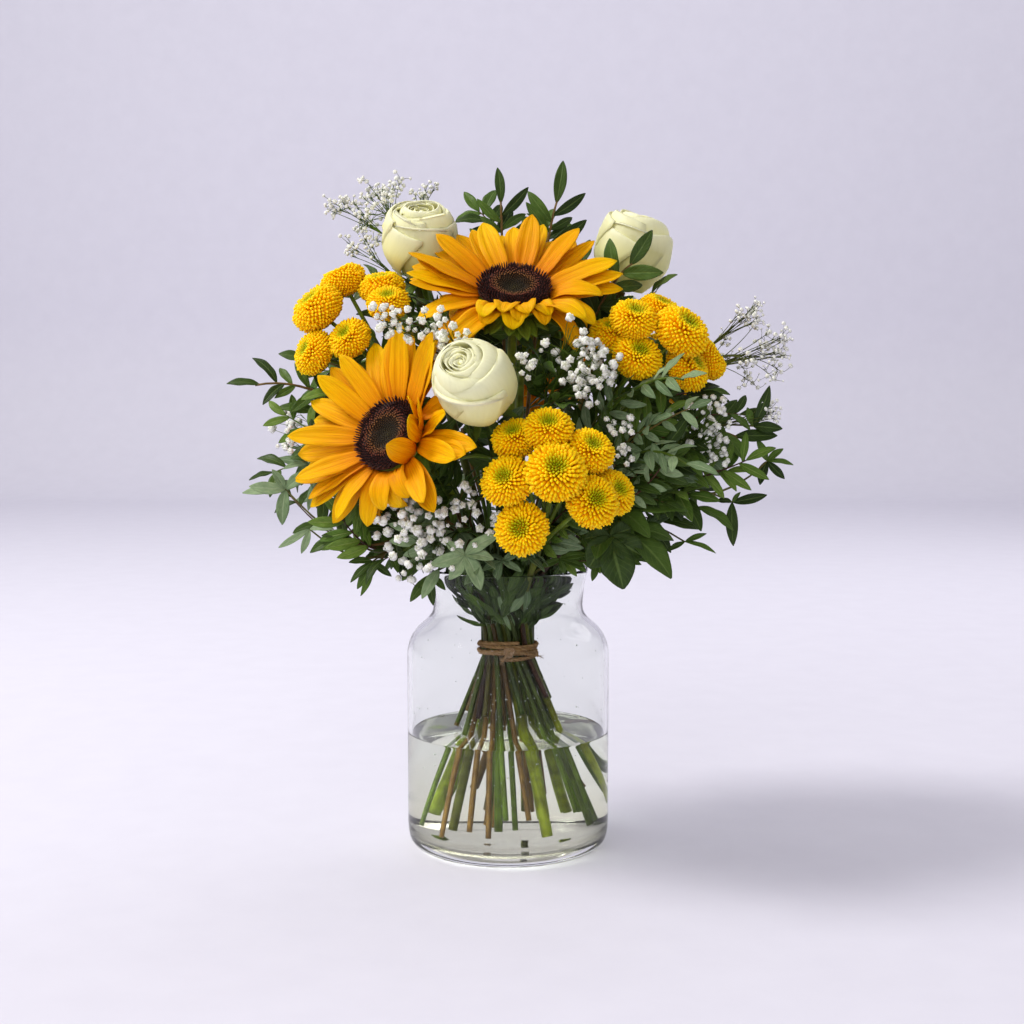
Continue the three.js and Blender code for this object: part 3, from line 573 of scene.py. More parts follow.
def behind(flower, depth):
    """The point at a depth behind a flower's centre, where its stem ends."""
    return np.array(flower["centre"], float) - unit(flower["facing"]) * depth


STEMS = [Stem(f["name"], 4.1, behind(f, CALYX_DEPTH), f["facing"], 60) for f in SUNFLOWERS]
STEMS += [Stem(r["name"], 2.8, behind(r, ROSE_DEPTH * r["size"] + 0.875), r["facing"], 60) for r in ROSES]
STEMS += [Stem(m["name"], 2.3, m["fork"], (m["fork"][0], m["fork"][1], 140), 50) for m in MUMS]
for flower, stem in zip(SUNFLOWERS + ROSES + MUMS, STEMS):
    flower["stem"] = stem
FIRST_SPRAY = len(STEMS)
STEMS += [frond_stem(spray[0], 1.5, spray[1]) for spray in GYPSOPHILA]
FIRST_SHOOT = len(STEMS)
STEMS += [frond_stem(shoot[0], 1.7, shoot[1]) for shoot in FOLIAGE]


def pack_bundle(lead=0.7, upright=1.15):
    """Pushes the stems apart inside the twine until none touches another."""
    for stem in STEMS:
        lean = min(1, math.hypot(stem.head[0], stem.head[1]) / (stem.head[2] - BIND_Z) / upright)
        angle = math.atan2(stem.head[1], stem.head[0]) + lead
        out = lean * (BUNDLE_R - stem.radius)
        stem.bind = [math.cos(angle) * out, math.sin(angle) * out]
    for _ in range(600):
        for i, one in enumerate(STEMS):
            for other in STEMS[:i]:
                dx, dy = one.bind[0] - other.bind[0], one.bind[1] - other.bind[1]
                apart = math.hypot(dx, dy)
                missing = (one.radius + other.radius + 0.4) * 1.08 - apart
                if missing > 0:
                    push = missing / 2 / apart
                    one.bind = [one.bind[0] + dx * push, one.bind[1] + dy * push]
                    other.bind = [other.bind[0] - dx * push, other.bind[1] - dy * push]
        for stem in STEMS:
            out = math.hypot(*stem.bind)
            if out > BUNDLE_R - stem.radius:
                stem.bind = [b * (BUNDLE_R - stem.radius) / out for b in stem.bind]


def lower_point(bind, depth):
    """Where a stem runs at a depth below the twine's middle: outward, and turned like a screw."""
    grow = 1 + STEM_SPREAD * max(0, depth - TWINE_HALF)
    twist = STEM_TWIST * depth
    return np.array((bind[0] * grow - bind[1] * twist, bind[1] * grow + bind[0] * twist, BIND_Z - depth))


def foot_depth(stem, i):
    """How far down a stem reaches: nearly to the floor of the vase, and not into its wall."""
    depth = BIND_Z - VASE_FLOOR - 4 - stem.radius - 9 * chance(i, 1)
    while np.linalg.norm(lower_point(stem.bind, depth)[:2]) > STEM_FOOT_R - stem.radius:
        depth -= 1
    return depth


def stem_line(stem, steps, head=None):
    """The upper stem: one smooth bow from the twine that meets the head from behind."""
    head = stem.head if head is None else head
    start = lower_point(stem.bind, -TWINE_HALF)
    leave = unit((stem.bind[1] * STEM_TWIST, -stem.bind[0] * STEM_TWIST, 1))
    reach = min(85, np.linalg.norm(head - start) * 0.4)
    pulls = [start, start + leave * reach, head - stem.facing * stem.bow, head]
    t = np.linspace(0, 1, steps + 1)[:, None]
    weights = [(1 - t) ** 3, 3 * t * (1 - t) ** 2, 3 * t * t * (1 - t), t**3]
    return sum(w * p for w, p in zip(weights, pulls))


def on_line(line, share):
    """The place and direction at a share of the way along a line."""
    k = min(len(line) - 2, int(share * (len(line) - 1)))
    part = share * (len(line) - 1) - k
    return line[k] + (line[k + 1] - line[k]) * part, unit(line[k + 1] - line[k])


def corners(node):
    """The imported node's corners, in millimetres, ready for near()."""
    mesh = frame["nodes"][node].data
    tree = KDTree(len(mesh.vertices))
    for i, vertex in enumerate(mesh.vertices):
        tree.insert(vertex.co / MM, i)
    tree.balance()
    return tree


def near(tree, point):
    """How far a point lies from the nearest corner."""
    return tree.find(Vector(point))[2]


def settle(stem, node):
    """Finds which of the places tried for a thin stem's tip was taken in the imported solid."""
    tree, side = corners(node), unit(np.cross(UP, stem.head))
    best = None
    for k in range(14):
        shift = math.ceil(k / 2) * 5 * (1 if k % 2 else -1)
        for rise in (0, 8, -8):
            head = stem.head + side * shift + UP * rise
            line = stem_line(stem, COARSE, head)
            off = sum(near(tree, p) for p in line[1:])
            if best is None or off < best[0]:
                best = (off, head, line)
    stem.coarse, stem.line = best[2], stem_line(stem, SMOOTH, best[1])
    return tree


pack_bundle()
for i, stem in enumerate(STEMS):
    stem.foot = foot_depth(stem, i)
    stem.seed = i
    stem.coarse, stem.line = stem_line(stem, COARSE), stem_line(stem, SMOOTH)
feet = [np.linalg.norm(lower_point(s.bind, s.foot)[:2]) for s in STEMS]
print(len(STEMS), "stems, the farthest foot", round(max(feet)), "mm out")

# %% [markdown]
# Between these main stems stand short thin ones, whose feet end near the water's surface. Each takes
# the widest gap that it finds among sixty places inside the twine.

# %% Slender stems
SLENDER = []
for i in range(24):
    free = []
    for k in range(60):
        out, around = 17.2 * math.sqrt(chance(k, i + 5)), TURN * chance(k, i + 50)
        spot = np.array((math.cos(around) * out, math.sin(around) * out))
        room = min(np.linalg.norm(spot - s.bind[:2]) - s.radius for s in STEMS + SLENDER)
        free.append((room, tuple(spot)))
    room, spot = max(free)
    way = unit((*spot, 14 + 10 * chance(i, 7)))
    head = way * (110 + 70 * chance(i, 8)) + UP * BIND_Z
    slim = Stem("slender", min(1.7, max(0.8, room)), head, way, 40)
    slim.bind, slim.seed = spot, 40 + i
    slim.foot = 34 + 24 * chance(i, 9)
    slim.line = stem_line(slim, SMOOTH)
    SLENDER.append(slim)
print(len(SLENDER), "slender stems")

# %% [markdown]
# ## Stems
# A cut stem isn't a plain pipe: it swells a little at its nodes, its skin is ribbed, and its foot is cut on a
# slant. The skins run from fresh yellow-green through olive to the brownish purple of old gypsophila and rose
# stems, and each stem has its own place on that band. A second band by height
# paints light and shade on them: paler where they stand in water, as painted light, and dark from just
# above the water through the twine and the neck, as painted shade.

# %% Stem skin
stem_skin = Finish("stem_skin", Specular_IOR_Level=0.3)
ribs = stem_skin.noise(0, stem_skin.along(9, 6), detail=4.0)
skin = stem_skin.ramp(stem_skin.tint(), [
    (0.0, (0.32, 0.40, 0.03)), (0.3, (0.14, 0.23, 0.02)), (0.5, (0.055, 0.115, 0.015)),
    (0.68, (0.21, 0.14, 0.04)), (0.85, (0.13, 0.055, 0.025)), (1.0, (0.045, 0.016, 0.02))])
blotch = stem_skin.ramp(stem_skin.noise(9), [(0.35, (0.55, 0.5, 0.45)), (0.62, (1.0, 1.0, 0.92))])
skin = stem_skin.mix(1.0, skin, blotch, "MULTIPLY")
# Painted light and shade by height: paler in the water, darkest round the twine and in the neck.
painted_shade_and_light_by_height = stem_skin.ramp(stem_skin.maths("MULTIPLY", stem_skin.height(), 4.0), [  # to 250 mm up
    (0.0, (1.2, 1.15, 1.0)), (0.3, (1.15, 1.1, 0.95)), (0.37, (0.52, 0.48, 0.36)), (0.56, (0.3, 0.27, 0.2)),
    (0.8, (0.4, 0.4, 0.33)), (1.0, (0.95, 0.95, 0.95))])
skin = stem_skin.mix(1.0, skin, painted_shade_and_light_by_height, "MULTIPLY")
ridged = stem_skin.ramp(ribs, [(0.3, (0.7, 0.7, 0.6)), (0.7, (1.35, 1.3, 1.2))])
skin = stem_skin.mix(1.0, skin, ridged, "MULTIPLY")
stem_skin.colour(skin).rough(ribs, 0.35, 0.6).bump(ribs, 0.5)


# %% One whole stem
def grow_stem(piece, stem, thin, tint, sides=10, slim=1.0):
    """The stem from its slanted foot, held by the twine, to its head."""
    below = [lower_point(stem.bind, depth) for depth in np.linspace(stem.foot, -TWINE_HALF + 2, 20)]
    foot = below[0] - (below[1] - below[0]) * 0.02
    line = np.array([foot] + below + list(stem.line[1:]))
    up = np.clip((np.arange(len(line)) - len(below)) / SMOOTH, 0, 1)
    nodes = 1 + 0.09 * np.clip(np.sin(np.arange(len(line)) * 0.9 + stem.seed * 2.1), 0.6, 1)
    radii = slim * stem.radius * (1 - (1 - thin) * up) * nodes
    radii[0] = stem.radius * 0.55
    sweep(piece, line, radii, sides, tint)


slender = new_piece()
for i, slim in enumerate(SLENDER):
    grow_stem(slender, slim, 0.7, 0.3 + 0.7 * chance(i, 12), 8)
finish("slender_stems", slender, stem_skin.material, "flower_stem")

# %% [markdown]
# ## Blades
# Petals, leaves and bracts are all blades: they start at one slope, bend evenly to another, and rise
# from the rib to their edges. Petals are grooved along their length, leaves are folded on their rib.


# %% A blade
def strap(t):
    """A petal's outline: nearly as wide all along."""
    return np.sin(np.pi * (0.02 + 0.965 * t)) ** 0.4 * (1 - 0.8 * t**16)


def pointed(t):
    """A leaf's outline: widest in the middle."""
    return np.sin(np.pi * (0.012 + 0.976 * t)) ** 0.8


def arc(length, start, end, t):
    """How far out and up a rib is that starts at one slope and bends to another."""
    turn = end - start
    if abs(turn) < 1e-3:
        return length * t * math.cos(start), length * t * math.sin(start)
    angle = start + turn * t
    out = length * (np.sin(angle) - math.sin(start)) / turn
    return out, length * (math.cos(start) - np.cos(angle)) / turn


def blade_frame(ahead, face, roll=0.0):
    """Across, along and out of a blade that is rolled round its rib."""
    ahead = unit(ahead)
    normal = unit(face - ahead * ahead.dot(face))
    side = np.cross(ahead, normal)
    cos, sin = math.cos(roll), math.sin(roll)
    return side * cos + normal * sin, ahead, normal * cos - side * sin


def tip_of(root, ahead, face, length, start, end):
    """Where a blade ends."""
    _, ahead, normal = blade_frame(ahead, face)
    out, up = arc(length, start, end, 1.0)
    return root + ahead * out + normal * up


def blade(piece, template, root, ahead, face, length, width, start=0.0, end=0.0, *, fold=0.15, thick=0.6,
          outline=pointed, grooves=0.0, wave=0.0, sway=0.0, roll=0.0, tint=0.0):
    """Stamps one petal, leaf or bract."""
    side, ahead, normal = blade_frame(ahead, face, roll)
    x, t, z = template[1].T
    across = 2 * x - 1
    out, up = arc(length, start, end, t)
    angle = start + (end - start) * t
    half = width / 2 * outline(t)
    raised = fold * half * np.abs(across) ** 1.4 + (z - 0.5) * thick * (1 - 0.55 * across**2)
    raised = raised + grooves * np.cos(across * np.pi * 3) * np.sin(np.pi * t) ** 0.5
    raised = raised + wave * half * np.sin(t * 11 + tint * 40 + across) * across**2 * np.sin(np.pi * t)
    sideways = across * half + sway * length * t * t
    out, up = out - np.sin(angle) * raised, up + np.cos(angle) * raised
    points = root + np.outer(sideways, side) + np.outer(out, ahead) + np.outer(up, normal)
    stamp(piece, template, points, tint)


PETAL = slab(12, 16)
LEAF = slab(8, 14)
LEAFLET = slab(6, 10)
BRACT = slab(4, 8)
print("a petal has", len(PETAL[1]), "points and a leaf", len(LEAF[1]))

# %% [markdown]
# ## Sunflowers
# A sunflower's ray petals stand in two or three crowded rows. Each is a long strap with grooves along
# it, deep orange at the root and golden yellow at the tip, and a few curl forward over the disc. The
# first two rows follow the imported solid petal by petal. Three thinner rows fill between them.

# %% Petal finish
ray = Finish("sunflower_petal", Specular_IOR_Level=0.1, Subsurface_Weight=0.12, Subsurface_Scale=0.003)
streaks = ray.noise(0, ray.along(26, 1.6), detail=4.0)
ray_band = ray.ramp(ray.share(1), [
    (0.0, (0.62, 0.14, 0.0)), (0.2, (0.82, 0.29, 0.0)), (0.5, (0.86, 0.385, 0.0)), (1.0, (0.92, 0.52, 0.0))])
own = ray.ramp(ray.tint(), [(0.0, (0.9, 0.8, 0.6)), (0.5, (1.0, 1.0, 1.0)), (1.0, (1.0, 1.1, 1.6))])
shade = ray.ramp(streaks, [(0.3, (0.80, 0.66, 0.5)), (0.6, (1.0, 1.0, 1.0))])
ray_band = ray.mix(1.0, ray.mix(1.0, ray_band, own, "MULTIPLY"), shade, "MULTIPLY")
ray.colour(ray_band).rough(streaks, 0.38, 0.6).bump(streaks, 0.55)


# %% Petals row by row
PETAL_LONG, PETAL_WIDE = 50, 17.5
PETAL_ROWS = [  # each row's shift round the flower, in petals, and its lift at rest
    (0.0, 0.38), (0.5, 0.08), (0.25, 0.24), (0.75, 0.17), (0.05, 0.02),
]


def curl_at(flower, angle):
    """The lift, bend and size of the petals that curl at this side of the flower, if any do."""
    for at, spread, *curl in flower["curls"]:
        if abs(math.atan2(math.sin(angle - at), math.cos(angle - at))) < spread:
            return curl
    return None


def best_lean(tree, root, radial, axis, long, lift, bend):
    """How far a packed petal leans back: the tenth of a radian whose tip is nearest to its solid."""
    def miss(lean):
        return near(tree, tip_of(root, radial, axis, long, lift - lean, lift - lean + bend))

    return min((tenths / 10 for tenths in range(10)), key=miss)


def sunflower_petals(flower, seed):
    """All rows of ray petals of one flower."""
    piece = new_piece()
    tree = corners(f"sunflower_{flower['name']}_petals")
    centre, rows = np.array(flower["centre"], float), frame_of(flower["facing"])
    axis = rows[2]
    for layer, (shift, rest) in enumerate(PETAL_ROWS):
        packed = layer < 2
        for i in range(flower["petals"]):
            n = i + layer * 40
            if not packed and chance(n, seed + 9) < 0.08 * (layer - 1):
                continue
            wobble = (chance(n, seed) - 0.5) * (0.1 if packed else 0.2)
            angle = (i + shift) / flower["petals"] * TURN + flower["turn"] + wobble
            curl = curl_at(flower, angle)
            if layer > 2 and curl and curl[2] < 0.7:
                continue
            radial = spoke(rows, angle)
            lift = curl[0] - layer * 0.3 if curl else rest + 0.1 * chance(n, seed + 1)
            bend = curl[1] if curl else 0.12 - 0.45 * chance(n, seed + 2)
            size = (curl[2] if curl else 1) * (0.92 + 0.14 * chance(n, seed + 3))
            low = -0.6 if layer == 0 and not curl else -1.8
            root = centre + radial * (DISC_R - (0.3 if curl else 1.6)) + axis * low
            long = PETAL_LONG * size
            folded = curl and curl[0] > 1.9
            if packed and not folded:
                lean = best_lean(tree, root, radial, axis, long, lift, bend)
            else:
                lean = 0.25 if curl and not folded else 0.0
            width = PETAL_WIDE * (0.88 + 0.2 * chance(n, seed + 4)) * (0.9 if packed else 0.86)
            blade(piece, PETAL, root, radial, axis, long, width, lift - lean, lift - lean + bend,
                  fold=0.24, outline=strap, grooves=0.42, wave=0.10, sway=0.12 * (chance(n, seed + 5) - 0.5),
                  roll=0.5 * (chance(n, seed + 6) - 0.5), tint=chance(n, seed + 7))
    name = flower["name"]
    finish(f"{name}_sunflower_petals", piece, ray.material, "sunflower_petal", f"sunflower_{name}_petals")


for i, flower in enumerate(SUNFLOWERS):
    sunflower_petals(flower, 10 * i + 20)

# %% [markdown]
# The disc is a low dome packed with hundreds of florets along the golden angle. Those at the rim are
# tall, hairy and dark maroon, the next ring is brown and open, and the middle is still closed and
# olive dark.

# %% Disc finish
seeds = Finish("sunflower_disc", Roughness=0.75)
zones = seeds.ramp(seeds.tint(), [
    (0.0, (0.05, 0.04, 0.008)), (0.3, (0.03, 0.02, 0.006)), (0.45, (0.07, 0.035, 0.009)),
    (0.62, (0.055, 0.018, 0.006)), (0.74, (0.04, 0.006, 0.004)), (1.0, (0.05, 0.008, 0.005))])
tips = seeds.ramp(seeds.share(1), [(0.55, (0.35, 0.3, 0.3)), (0.8, (1.1, 1.0, 0.9)), (1.0, (3.2, 2.8, 2.0))])
seeds.colour(seeds.mix(1.0, zones, tips, "MULTIPLY")).bump(seeds.noise(0.8), 0.3)

# %% Discs
DOME = [(0, 3.8), (5.5, 4.6), (10.5, 6), (16.5, 7.2), (21.9, 6), (23.5, 2.6)]
FLORETS = 720
FLORET_TALL = [(0, 0.7), (0.3, 0.9), (0.5, 1.5), (0.66, 1.7), (0.8, 3.0), (1, 3.4)]  # from middle to rim
FLORET_LEAN = [(0, -0.35), (0.4, -0.5), (0.75, 0.05), (1, 0.75)]


def along_table(x, table):
    """Reads a value between the entries of a table of pairs."""
    return np.interp(x, *zip(*table))


def sunflower_disc(flower, seed):
    """The dome and its florets."""
    piece = new_piece()
    outline = DOME + [(18.5, 0.6), (18.5, -2.4), (0, -2.4)]
    turned(piece, [(r, z - 0.4) for r, z in outline], 40)
    rows, centre = frame_of(flower["facing"]), np.array(flower["centre"], float)
    tint_layer = piece.verts.layers.float["tint"]
    for vertex in piece.verts:
        vertex[tint_layer] = math.hypot(vertex.co.x, vertex.co.y) / DISC_R
        vertex.co = Vector(centre + np.array(vertex.co) @ rows)
    for i in range(FLORETS):
        out = math.sqrt((i + 0.5) / FLORETS)
        r, angle = out * (DISC_R - 0.6), i * GOLDEN
        tall = along_table(out, FLORET_TALL) * (0.75 + 0.5 * chance(i, seed))
        lean = along_table(out, FLORET_LEAN) + 0.3 * (chance(i, seed + 1) - 0.5)
        radial = spoke(rows, angle)
        root = centre + radial * r + rows[2] * (along_table(r, DOME) - 0.7)
        way = unit(rows[2] + radial * lean)
        open_top = 0.5 < out < 0.72
        wide = (0.36, 0.42, 0.5 if open_top else 0.36, 0.6 if open_top else 0.1)
        steps = (0, 0.5, 0.8, 1.0)
        sweep(piece, [root + way * (tall + 0.7) * s for s in steps], wide, 5, out)
    name = flower["name"]
    finish(f"{name}_sunflower_disc", piece, seeds.material, "sunflower_disc", f"sunflower_{name}_disc")


for i, flower in enumerate(SUNFLOWERS):
    sunflower_disc(flower, 40 + i)

# %% [markdown]
# Behind the petals a green cup of pointed bracts holds the head, and the thick hairy stem runs into
# it. It shows from the side and the back, and between the petals.

# %% Green cups and sunflower stems
CUP = [(0, -14), (5.5, -13), (17, -7.5), (23, -4), (22, -2.8), (0, -2.8)]
BRACTS = 26


def sunflower_stem(flower, seed):
    """The cup of bracts and the stem under it."""
    stem = flower["stem"]
    piece = new_piece()
    centre, rows = np.array(flower["centre"], float), frame_of(flower["facing"])
    turned(piece, rounded(CUP, 3, 4), 32)
    for vertex in piece.verts:
        vertex.co = Vector(centre + np.array(vertex.co) @ rows)
    grow_stem(piece, stem, 0.92, 0.02 + 0.2 * chance(seed, 1), 14, 0.78)
    for k in range(BRACTS):
        angle, outer = k * GOLDEN, k % 2
        radial = spoke(rows, angle)
        root = centre + radial * (12 + 3 * outer) + rows[2] * (-8.5 + 1.2 * outer)
        start = -0.12 + 0.12 * outer
        end = start - 0.3 - 0.4 * chance(k, seed + 1)
        blade(piece, BRACT, root, radial, rows[2], 18 + 4 * chance(k, seed), 9, start, end,
              fold=-0.15, thick=0.7, wave=0.1, tint=0.2 + 0.2 * chance(k, 3))
    name = flower["name"]
    finish(f"{name}_sunflower_stem", piece, stem_skin.material, "flower_stem", f"sunflower_{name}_stem")


for i, flower in enumerate(SUNFLOWERS):
    sunflower_stem(flower, 60 + i)

# %% [markdown]
# ## White roses
# A half-open white rose is a smooth egg of broad petals wrapped round a tight spiral, which shows
# only through a round opening at the top. Each petal here is one slab wrapped round the bloom, so the
# rims overlap as they do on the flower, and one or two of the outermost roll back. The creamy white
# turns yellow-green and darker towards each petal's foot, partly the rose's own colour and partly
# painted shade with a painted yellow reflection.

# %% Rose finish
cream = Finish(
    "rose_petal", Specular_IOR_Level=0.3, Subsurface_Weight=0.4, Subsurface_Scale=0.005,
    Subsurface_Radius=(1.0, 0.95, 0.7))
fine = cream.noise(0, cream.along(30, 2.5), detail=3.0)
# Towards the foot: partly the rose's own yellow-green, partly painted shade and painted yellow reflected
# light.
cream_with_painted_shade_and_reflection = cream.ramp(cream.share(1), [
    (0.0, (0.75, 0.72, 0.18)), (0.22, (0.96, 0.91, 0.30)), (0.55, (1.0, 0.965, 0.44)),
    (1.0, (1.0, 0.985, 0.62))])
veined = cream.ramp(fine, [(0.3, (0.96, 0.955, 0.93)), (0.7, (1, 1, 1))])
cream_with_painted_shade_and_reflection = cream.mix(1.0, cream_with_painted_shade_and_reflection, veined, "MULTIPLY")
cream.colour(cream_with_painted_shade_and_reflection).rough(fine, 0.4, 0.6).bump(fine, 0.15)

# %% Roses
ROSE_PETAL = slab(14, 14)
ROSE_TIERS = [  # count, wrap round the bloom, radius at foot, middle and rim, low, high, rounding of the rim
    (3, 2.6, 13, 25.8, 22.4, -25, 15.5, 9), (3, 2.8, 13, 25.0, 18.4, -24, 21.5, 7),
    (3, 2.9, 11, 23.6, 13.6, -22, 25.4, 5), (3, 2.8, 6, 15.6, 10.6, -20, 26.0, 3),
    (3, 2.7, 5, 11.6, 8.0, -17, 25.0, 2.2), (2, 3.7, 4, 8.8, 5.9, -14, 24.0, 1.6),
    (2, 3.6, 3, 6.4, 4.1, -12, 23.2, 1.2), (2, 3.4, 2, 4.2, 2.4, -10, 22.4, 0.8),
]


def rose_bloom(rose, seed):
    """Tiers of wrapped petals. The inner ones are shifted to the side on which the rose opens."""
    piece = new_piece()
    rows, centre = frame_of(rose["facing"], rose["turn"]), np.array(rose["centre"], float)
    size = rose["size"]
    x, t, z = ROSE_PETAL[1].T
    across = x - 0.5
    towards, by = rose["opens"]
    towards -= rose["turn"]
    shift = np.array((math.cos(towards), math.sin(towards), 0)) * by
    for k, (count, wrap, foot, mid, rim, low, top, round_off) in enumerate(ROSE_TIERS):
        for i in range(count):
            n = 10 * k + i
            angle = (i + k * 0.43 + 0.16 * (chance(n, seed) - 0.5)) / count * TURN
            turn = angle + across * wrap * (0.3 + 0.7 * np.minimum(1, t * 1.6))
            belly = foot + (mid - foot) * np.sin(np.minimum(1, t * 2.5) * np.pi / 2)
            rolled = 0.15 + 2.4 * chance(n, seed + 1) ** 4 if k < 3 else 0.3
            lip = np.clip((t - 0.84) / 0.16, 0, 1) ** 2 * rolled
            r = belly + (rim - mid) * t**3 + across * 2.4 + (z - 0.5) * 0.6 + lip * 2.2
            drop = round_off * 4 * across**2 * t**5 + lip * 1.5
            tall = top + (5 if k < 2 else 1.6) * (chance(n, seed + 2) - 0.5) - low
            height = low + tall * np.sin(t * 1.45) / 0.993 - drop + 0.4 * np.sin(across * 9 + n) * t**3
            local = np.stack((r * np.cos(turn), r * np.sin(turn), height), 1) * size
            local += np.outer(t**2 * min(1, 0.25 + k / 4), shift)
            stamp(piece, ROSE_PETAL, centre + local @ rows, chance(n, seed + 3))
    levels = (-ROSE_DEPTH, -24, -10, 8, 18, 22)
    core = [centre + rows[2] * z * size + shift @ rows * max(0, z / 24) ** 2 for z in levels]
    sweep(piece, core, [3 * size, 7 * size, 7 * size, 3.5 * size, 2.4 * size, 1.0], 12, 0.5)
    name = rose["name"]
    finish(f"{name}_rose", piece, cream.material, "rose_petal", f"rose_{name}_bloom")


def rose_stem(rose, seed):
    """The stem with the five sepals under the bloom."""
    stem, piece = rose["stem"], new_piece()
    grow_stem(piece, stem, 1.25, 0.15 + 0.6 * chance(seed, 2), 10, 0.9)
    rows = frame_of(rose["facing"])
    for i in range(5):
        angle = i / 5 * TURN + 0.3
        radial = spoke(rows, angle)
        start = -0.2 - 0.5 * chance(i, seed)
        root = stem.head + radial * 2 - rows[2] * 2.2
        blade(piece, BRACT, root, radial, rows[2], 21, 6.5, start, start - 0.5, thick=0.6, tint=0.35)
    name = rose["name"]
    finish(f"{name}_rose_stem", piece, stem_skin.material, "flower_stem", f"rose_{name}_stem")


for i, rose in enumerate(ROSES):
    rose_bloom(rose, 50 + 5 * i)
    rose_stem(rose, 70 + i)

# %% [markdown]
# ## Button chrysanthemums
# Each yellow button is a flattened ball of six hundred small quilled petals round a green eye.
# The petals near the eye are short and stand up, those at the rim lie outward, and those below curve
# back and are painted darker orange-brown as shade. A four-sided spoon is enough for a petal that is
# two millimetres wide.

# %% Button finish
button = Finish(
    "chrysanthemum_petal", Specular_IOR_Level=0.15, Subsurface_Weight=0.15, Subsurface_Scale=0.002)
button_band = button.ramp(button.share(1), [
    (0.0, (0.84, 0.36, 0.0)), (0.5, (1.0, 0.53, 0.0)), (0.8, (1.0, 0.65, 0.002)), (1.0, (1.0, 0.75, 0.01))])
# Green at the eye, the button's own colour; darker orange-brown on the underside, painted shade.
green_eye_and_painted_underside_shade = button.ramp(button.tint(), [
    (0.0, (0.25, 0.5, 0.5)), (0.13, (0.5, 0.75, 0.8)), (0.24, (1, 1.06, 1)), (0.62, (1, 0.95, 0.9)),
    (0.85, (0.92, 0.74, 0.6)), (1.0, (0.68, 0.44, 0.4))])
button.colour(button.mix(1.0, button_band, green_eye_and_painted_underside_shade, "MULTIPLY")).bump(button.noise(0.7), 0.12)

# %% [markdown]
# Leaves and small florets fill the gaps between these flowers, and none may stand in a flower or in
# the glass. One test of a point's place answers that for all of them.

# %% Where there is no room
GLASS_R, GLASS_TOP = (42, 61), 200  # the ring that the neck and its lip take up
SUNFLOWER_R, OVER_DISC_R, OVER_DISC = 66, 32, 45  # kept clear round a sunflower and before its disc
ROSE_R, ROSE_FROM, ROSE_TO = 28, -26, 34


def seen_from(flower, point):
    """How far a point lies off a flower's axis, and how far before its centre."""
    across, upward, ahead = frame_of(flower["facing"]) @ (point - np.array(flower["centre"]))
    return math.hypot(across, upward), ahead


def crowded(*points, before=OVER_DISC):
    """Whether a leaf or floret at these points would stand in a flower, or in the glass."""
    for point in points:
        if GLASS_R[0] < math.hypot(point[0], point[1]) < GLASS_R[1] and point[2] < GLASS_TOP:
            return True
        for flower in SUNFLOWERS:
            off, ahead = seen_from(flower, point)
            if off < SUNFLOWER_R and -6 - 0.08 * off < ahead < (OVER_DISC if off < OVER_DISC_R else before):
                return True
        for rose in ROSES:
            off, ahead = seen_from(rose, point)
            if off < ROSE_R and ROSE_FROM < ahead < ROSE_TO:
                return True
        for spray in MUMS:
            if any(np.linalg.norm(point - np.array(head[:3])) < head[3] + 1 for head in spray["heads"]):
                return True
    return False


# %% Heads
QUILLS = 600
HEAD_OUTLINE = [  # radius and height of the ball that the tips reach, from the eye to the back
    (0, 0.5), (0.3, 0.6), (0.62, 0.62), (0.9, 0.36), (1, 0.1), (0.93, -0.2), (0.72, -0.44), (0.4, -0.56),
]
QUILL_CURVE = [(0, 0.0), (0.3, 0.1), (0.7, 0.06), (1, -0.05)]
QUILL_WIDE = [(0, 0.03), (0.15, 0.048), (0.4, 0.06), (1, 0.055)]


def button_head(piece, centre, facing, radius, seed):
    """One yellow button: its quills, and a core that closes the gaps between their roots."""
    rows = frame_of(facing, seed)
    outline_r, outline_z = zip(*HEAD_OUTLINE)
    steps = np.linspace(0, 1, len(HEAD_OUTLINE))
    for i in range(QUILLS):
        share = ((i + 0.5) / QUILLS) ** 0.6
        angle = i * GOLDEN + 0.08 * chance(i, seed + 2)
        uneven = 0.93 + 0.13 * chance(i, seed)
        r = np.interp(share, steps, outline_r) * radius * uneven
        z = np.interp(share, steps, outline_z) * radius * (0.97 + 0.08 * chance(i, seed + 1))
        radial = spoke(rows, angle)
        tip = centre + radial * r + rows[2] * z
        root = centre + radial * r * 0.42 + rows[2] * (z * 0.35 - 0.1 * radius)
        curve = rows[2] * radius * along_table(share, QUILL_CURVE)
        wide = radius * along_table(share, QUILL_WIDE)
        line = [root, (root + tip) / 2 + curve, tip - (tip - root) * 0.1 + curve * 0.4, tip]
        sweep(piece, line, (wide * 0.7, wide, wide, wide * 0.3), 4, share)
    core = [(r * 0.84, z * 0.84) for r, z in HEAD_OUTLINE[:1] + HEAD_OUTLINE[3:]] + [(0, -0.5)]
    line = [centre + rows[2] * radius * z for _, z in core]
    sweep(piece, line, [radius * r for r, _ in core], 14, 0.5)


def notched(t):
    """A leaf outline with a few blunt lobes on each side."""
    return pointed(t) * (0.78 + 0.22 * np.cos(t * 6 * np.pi)) + 0.01


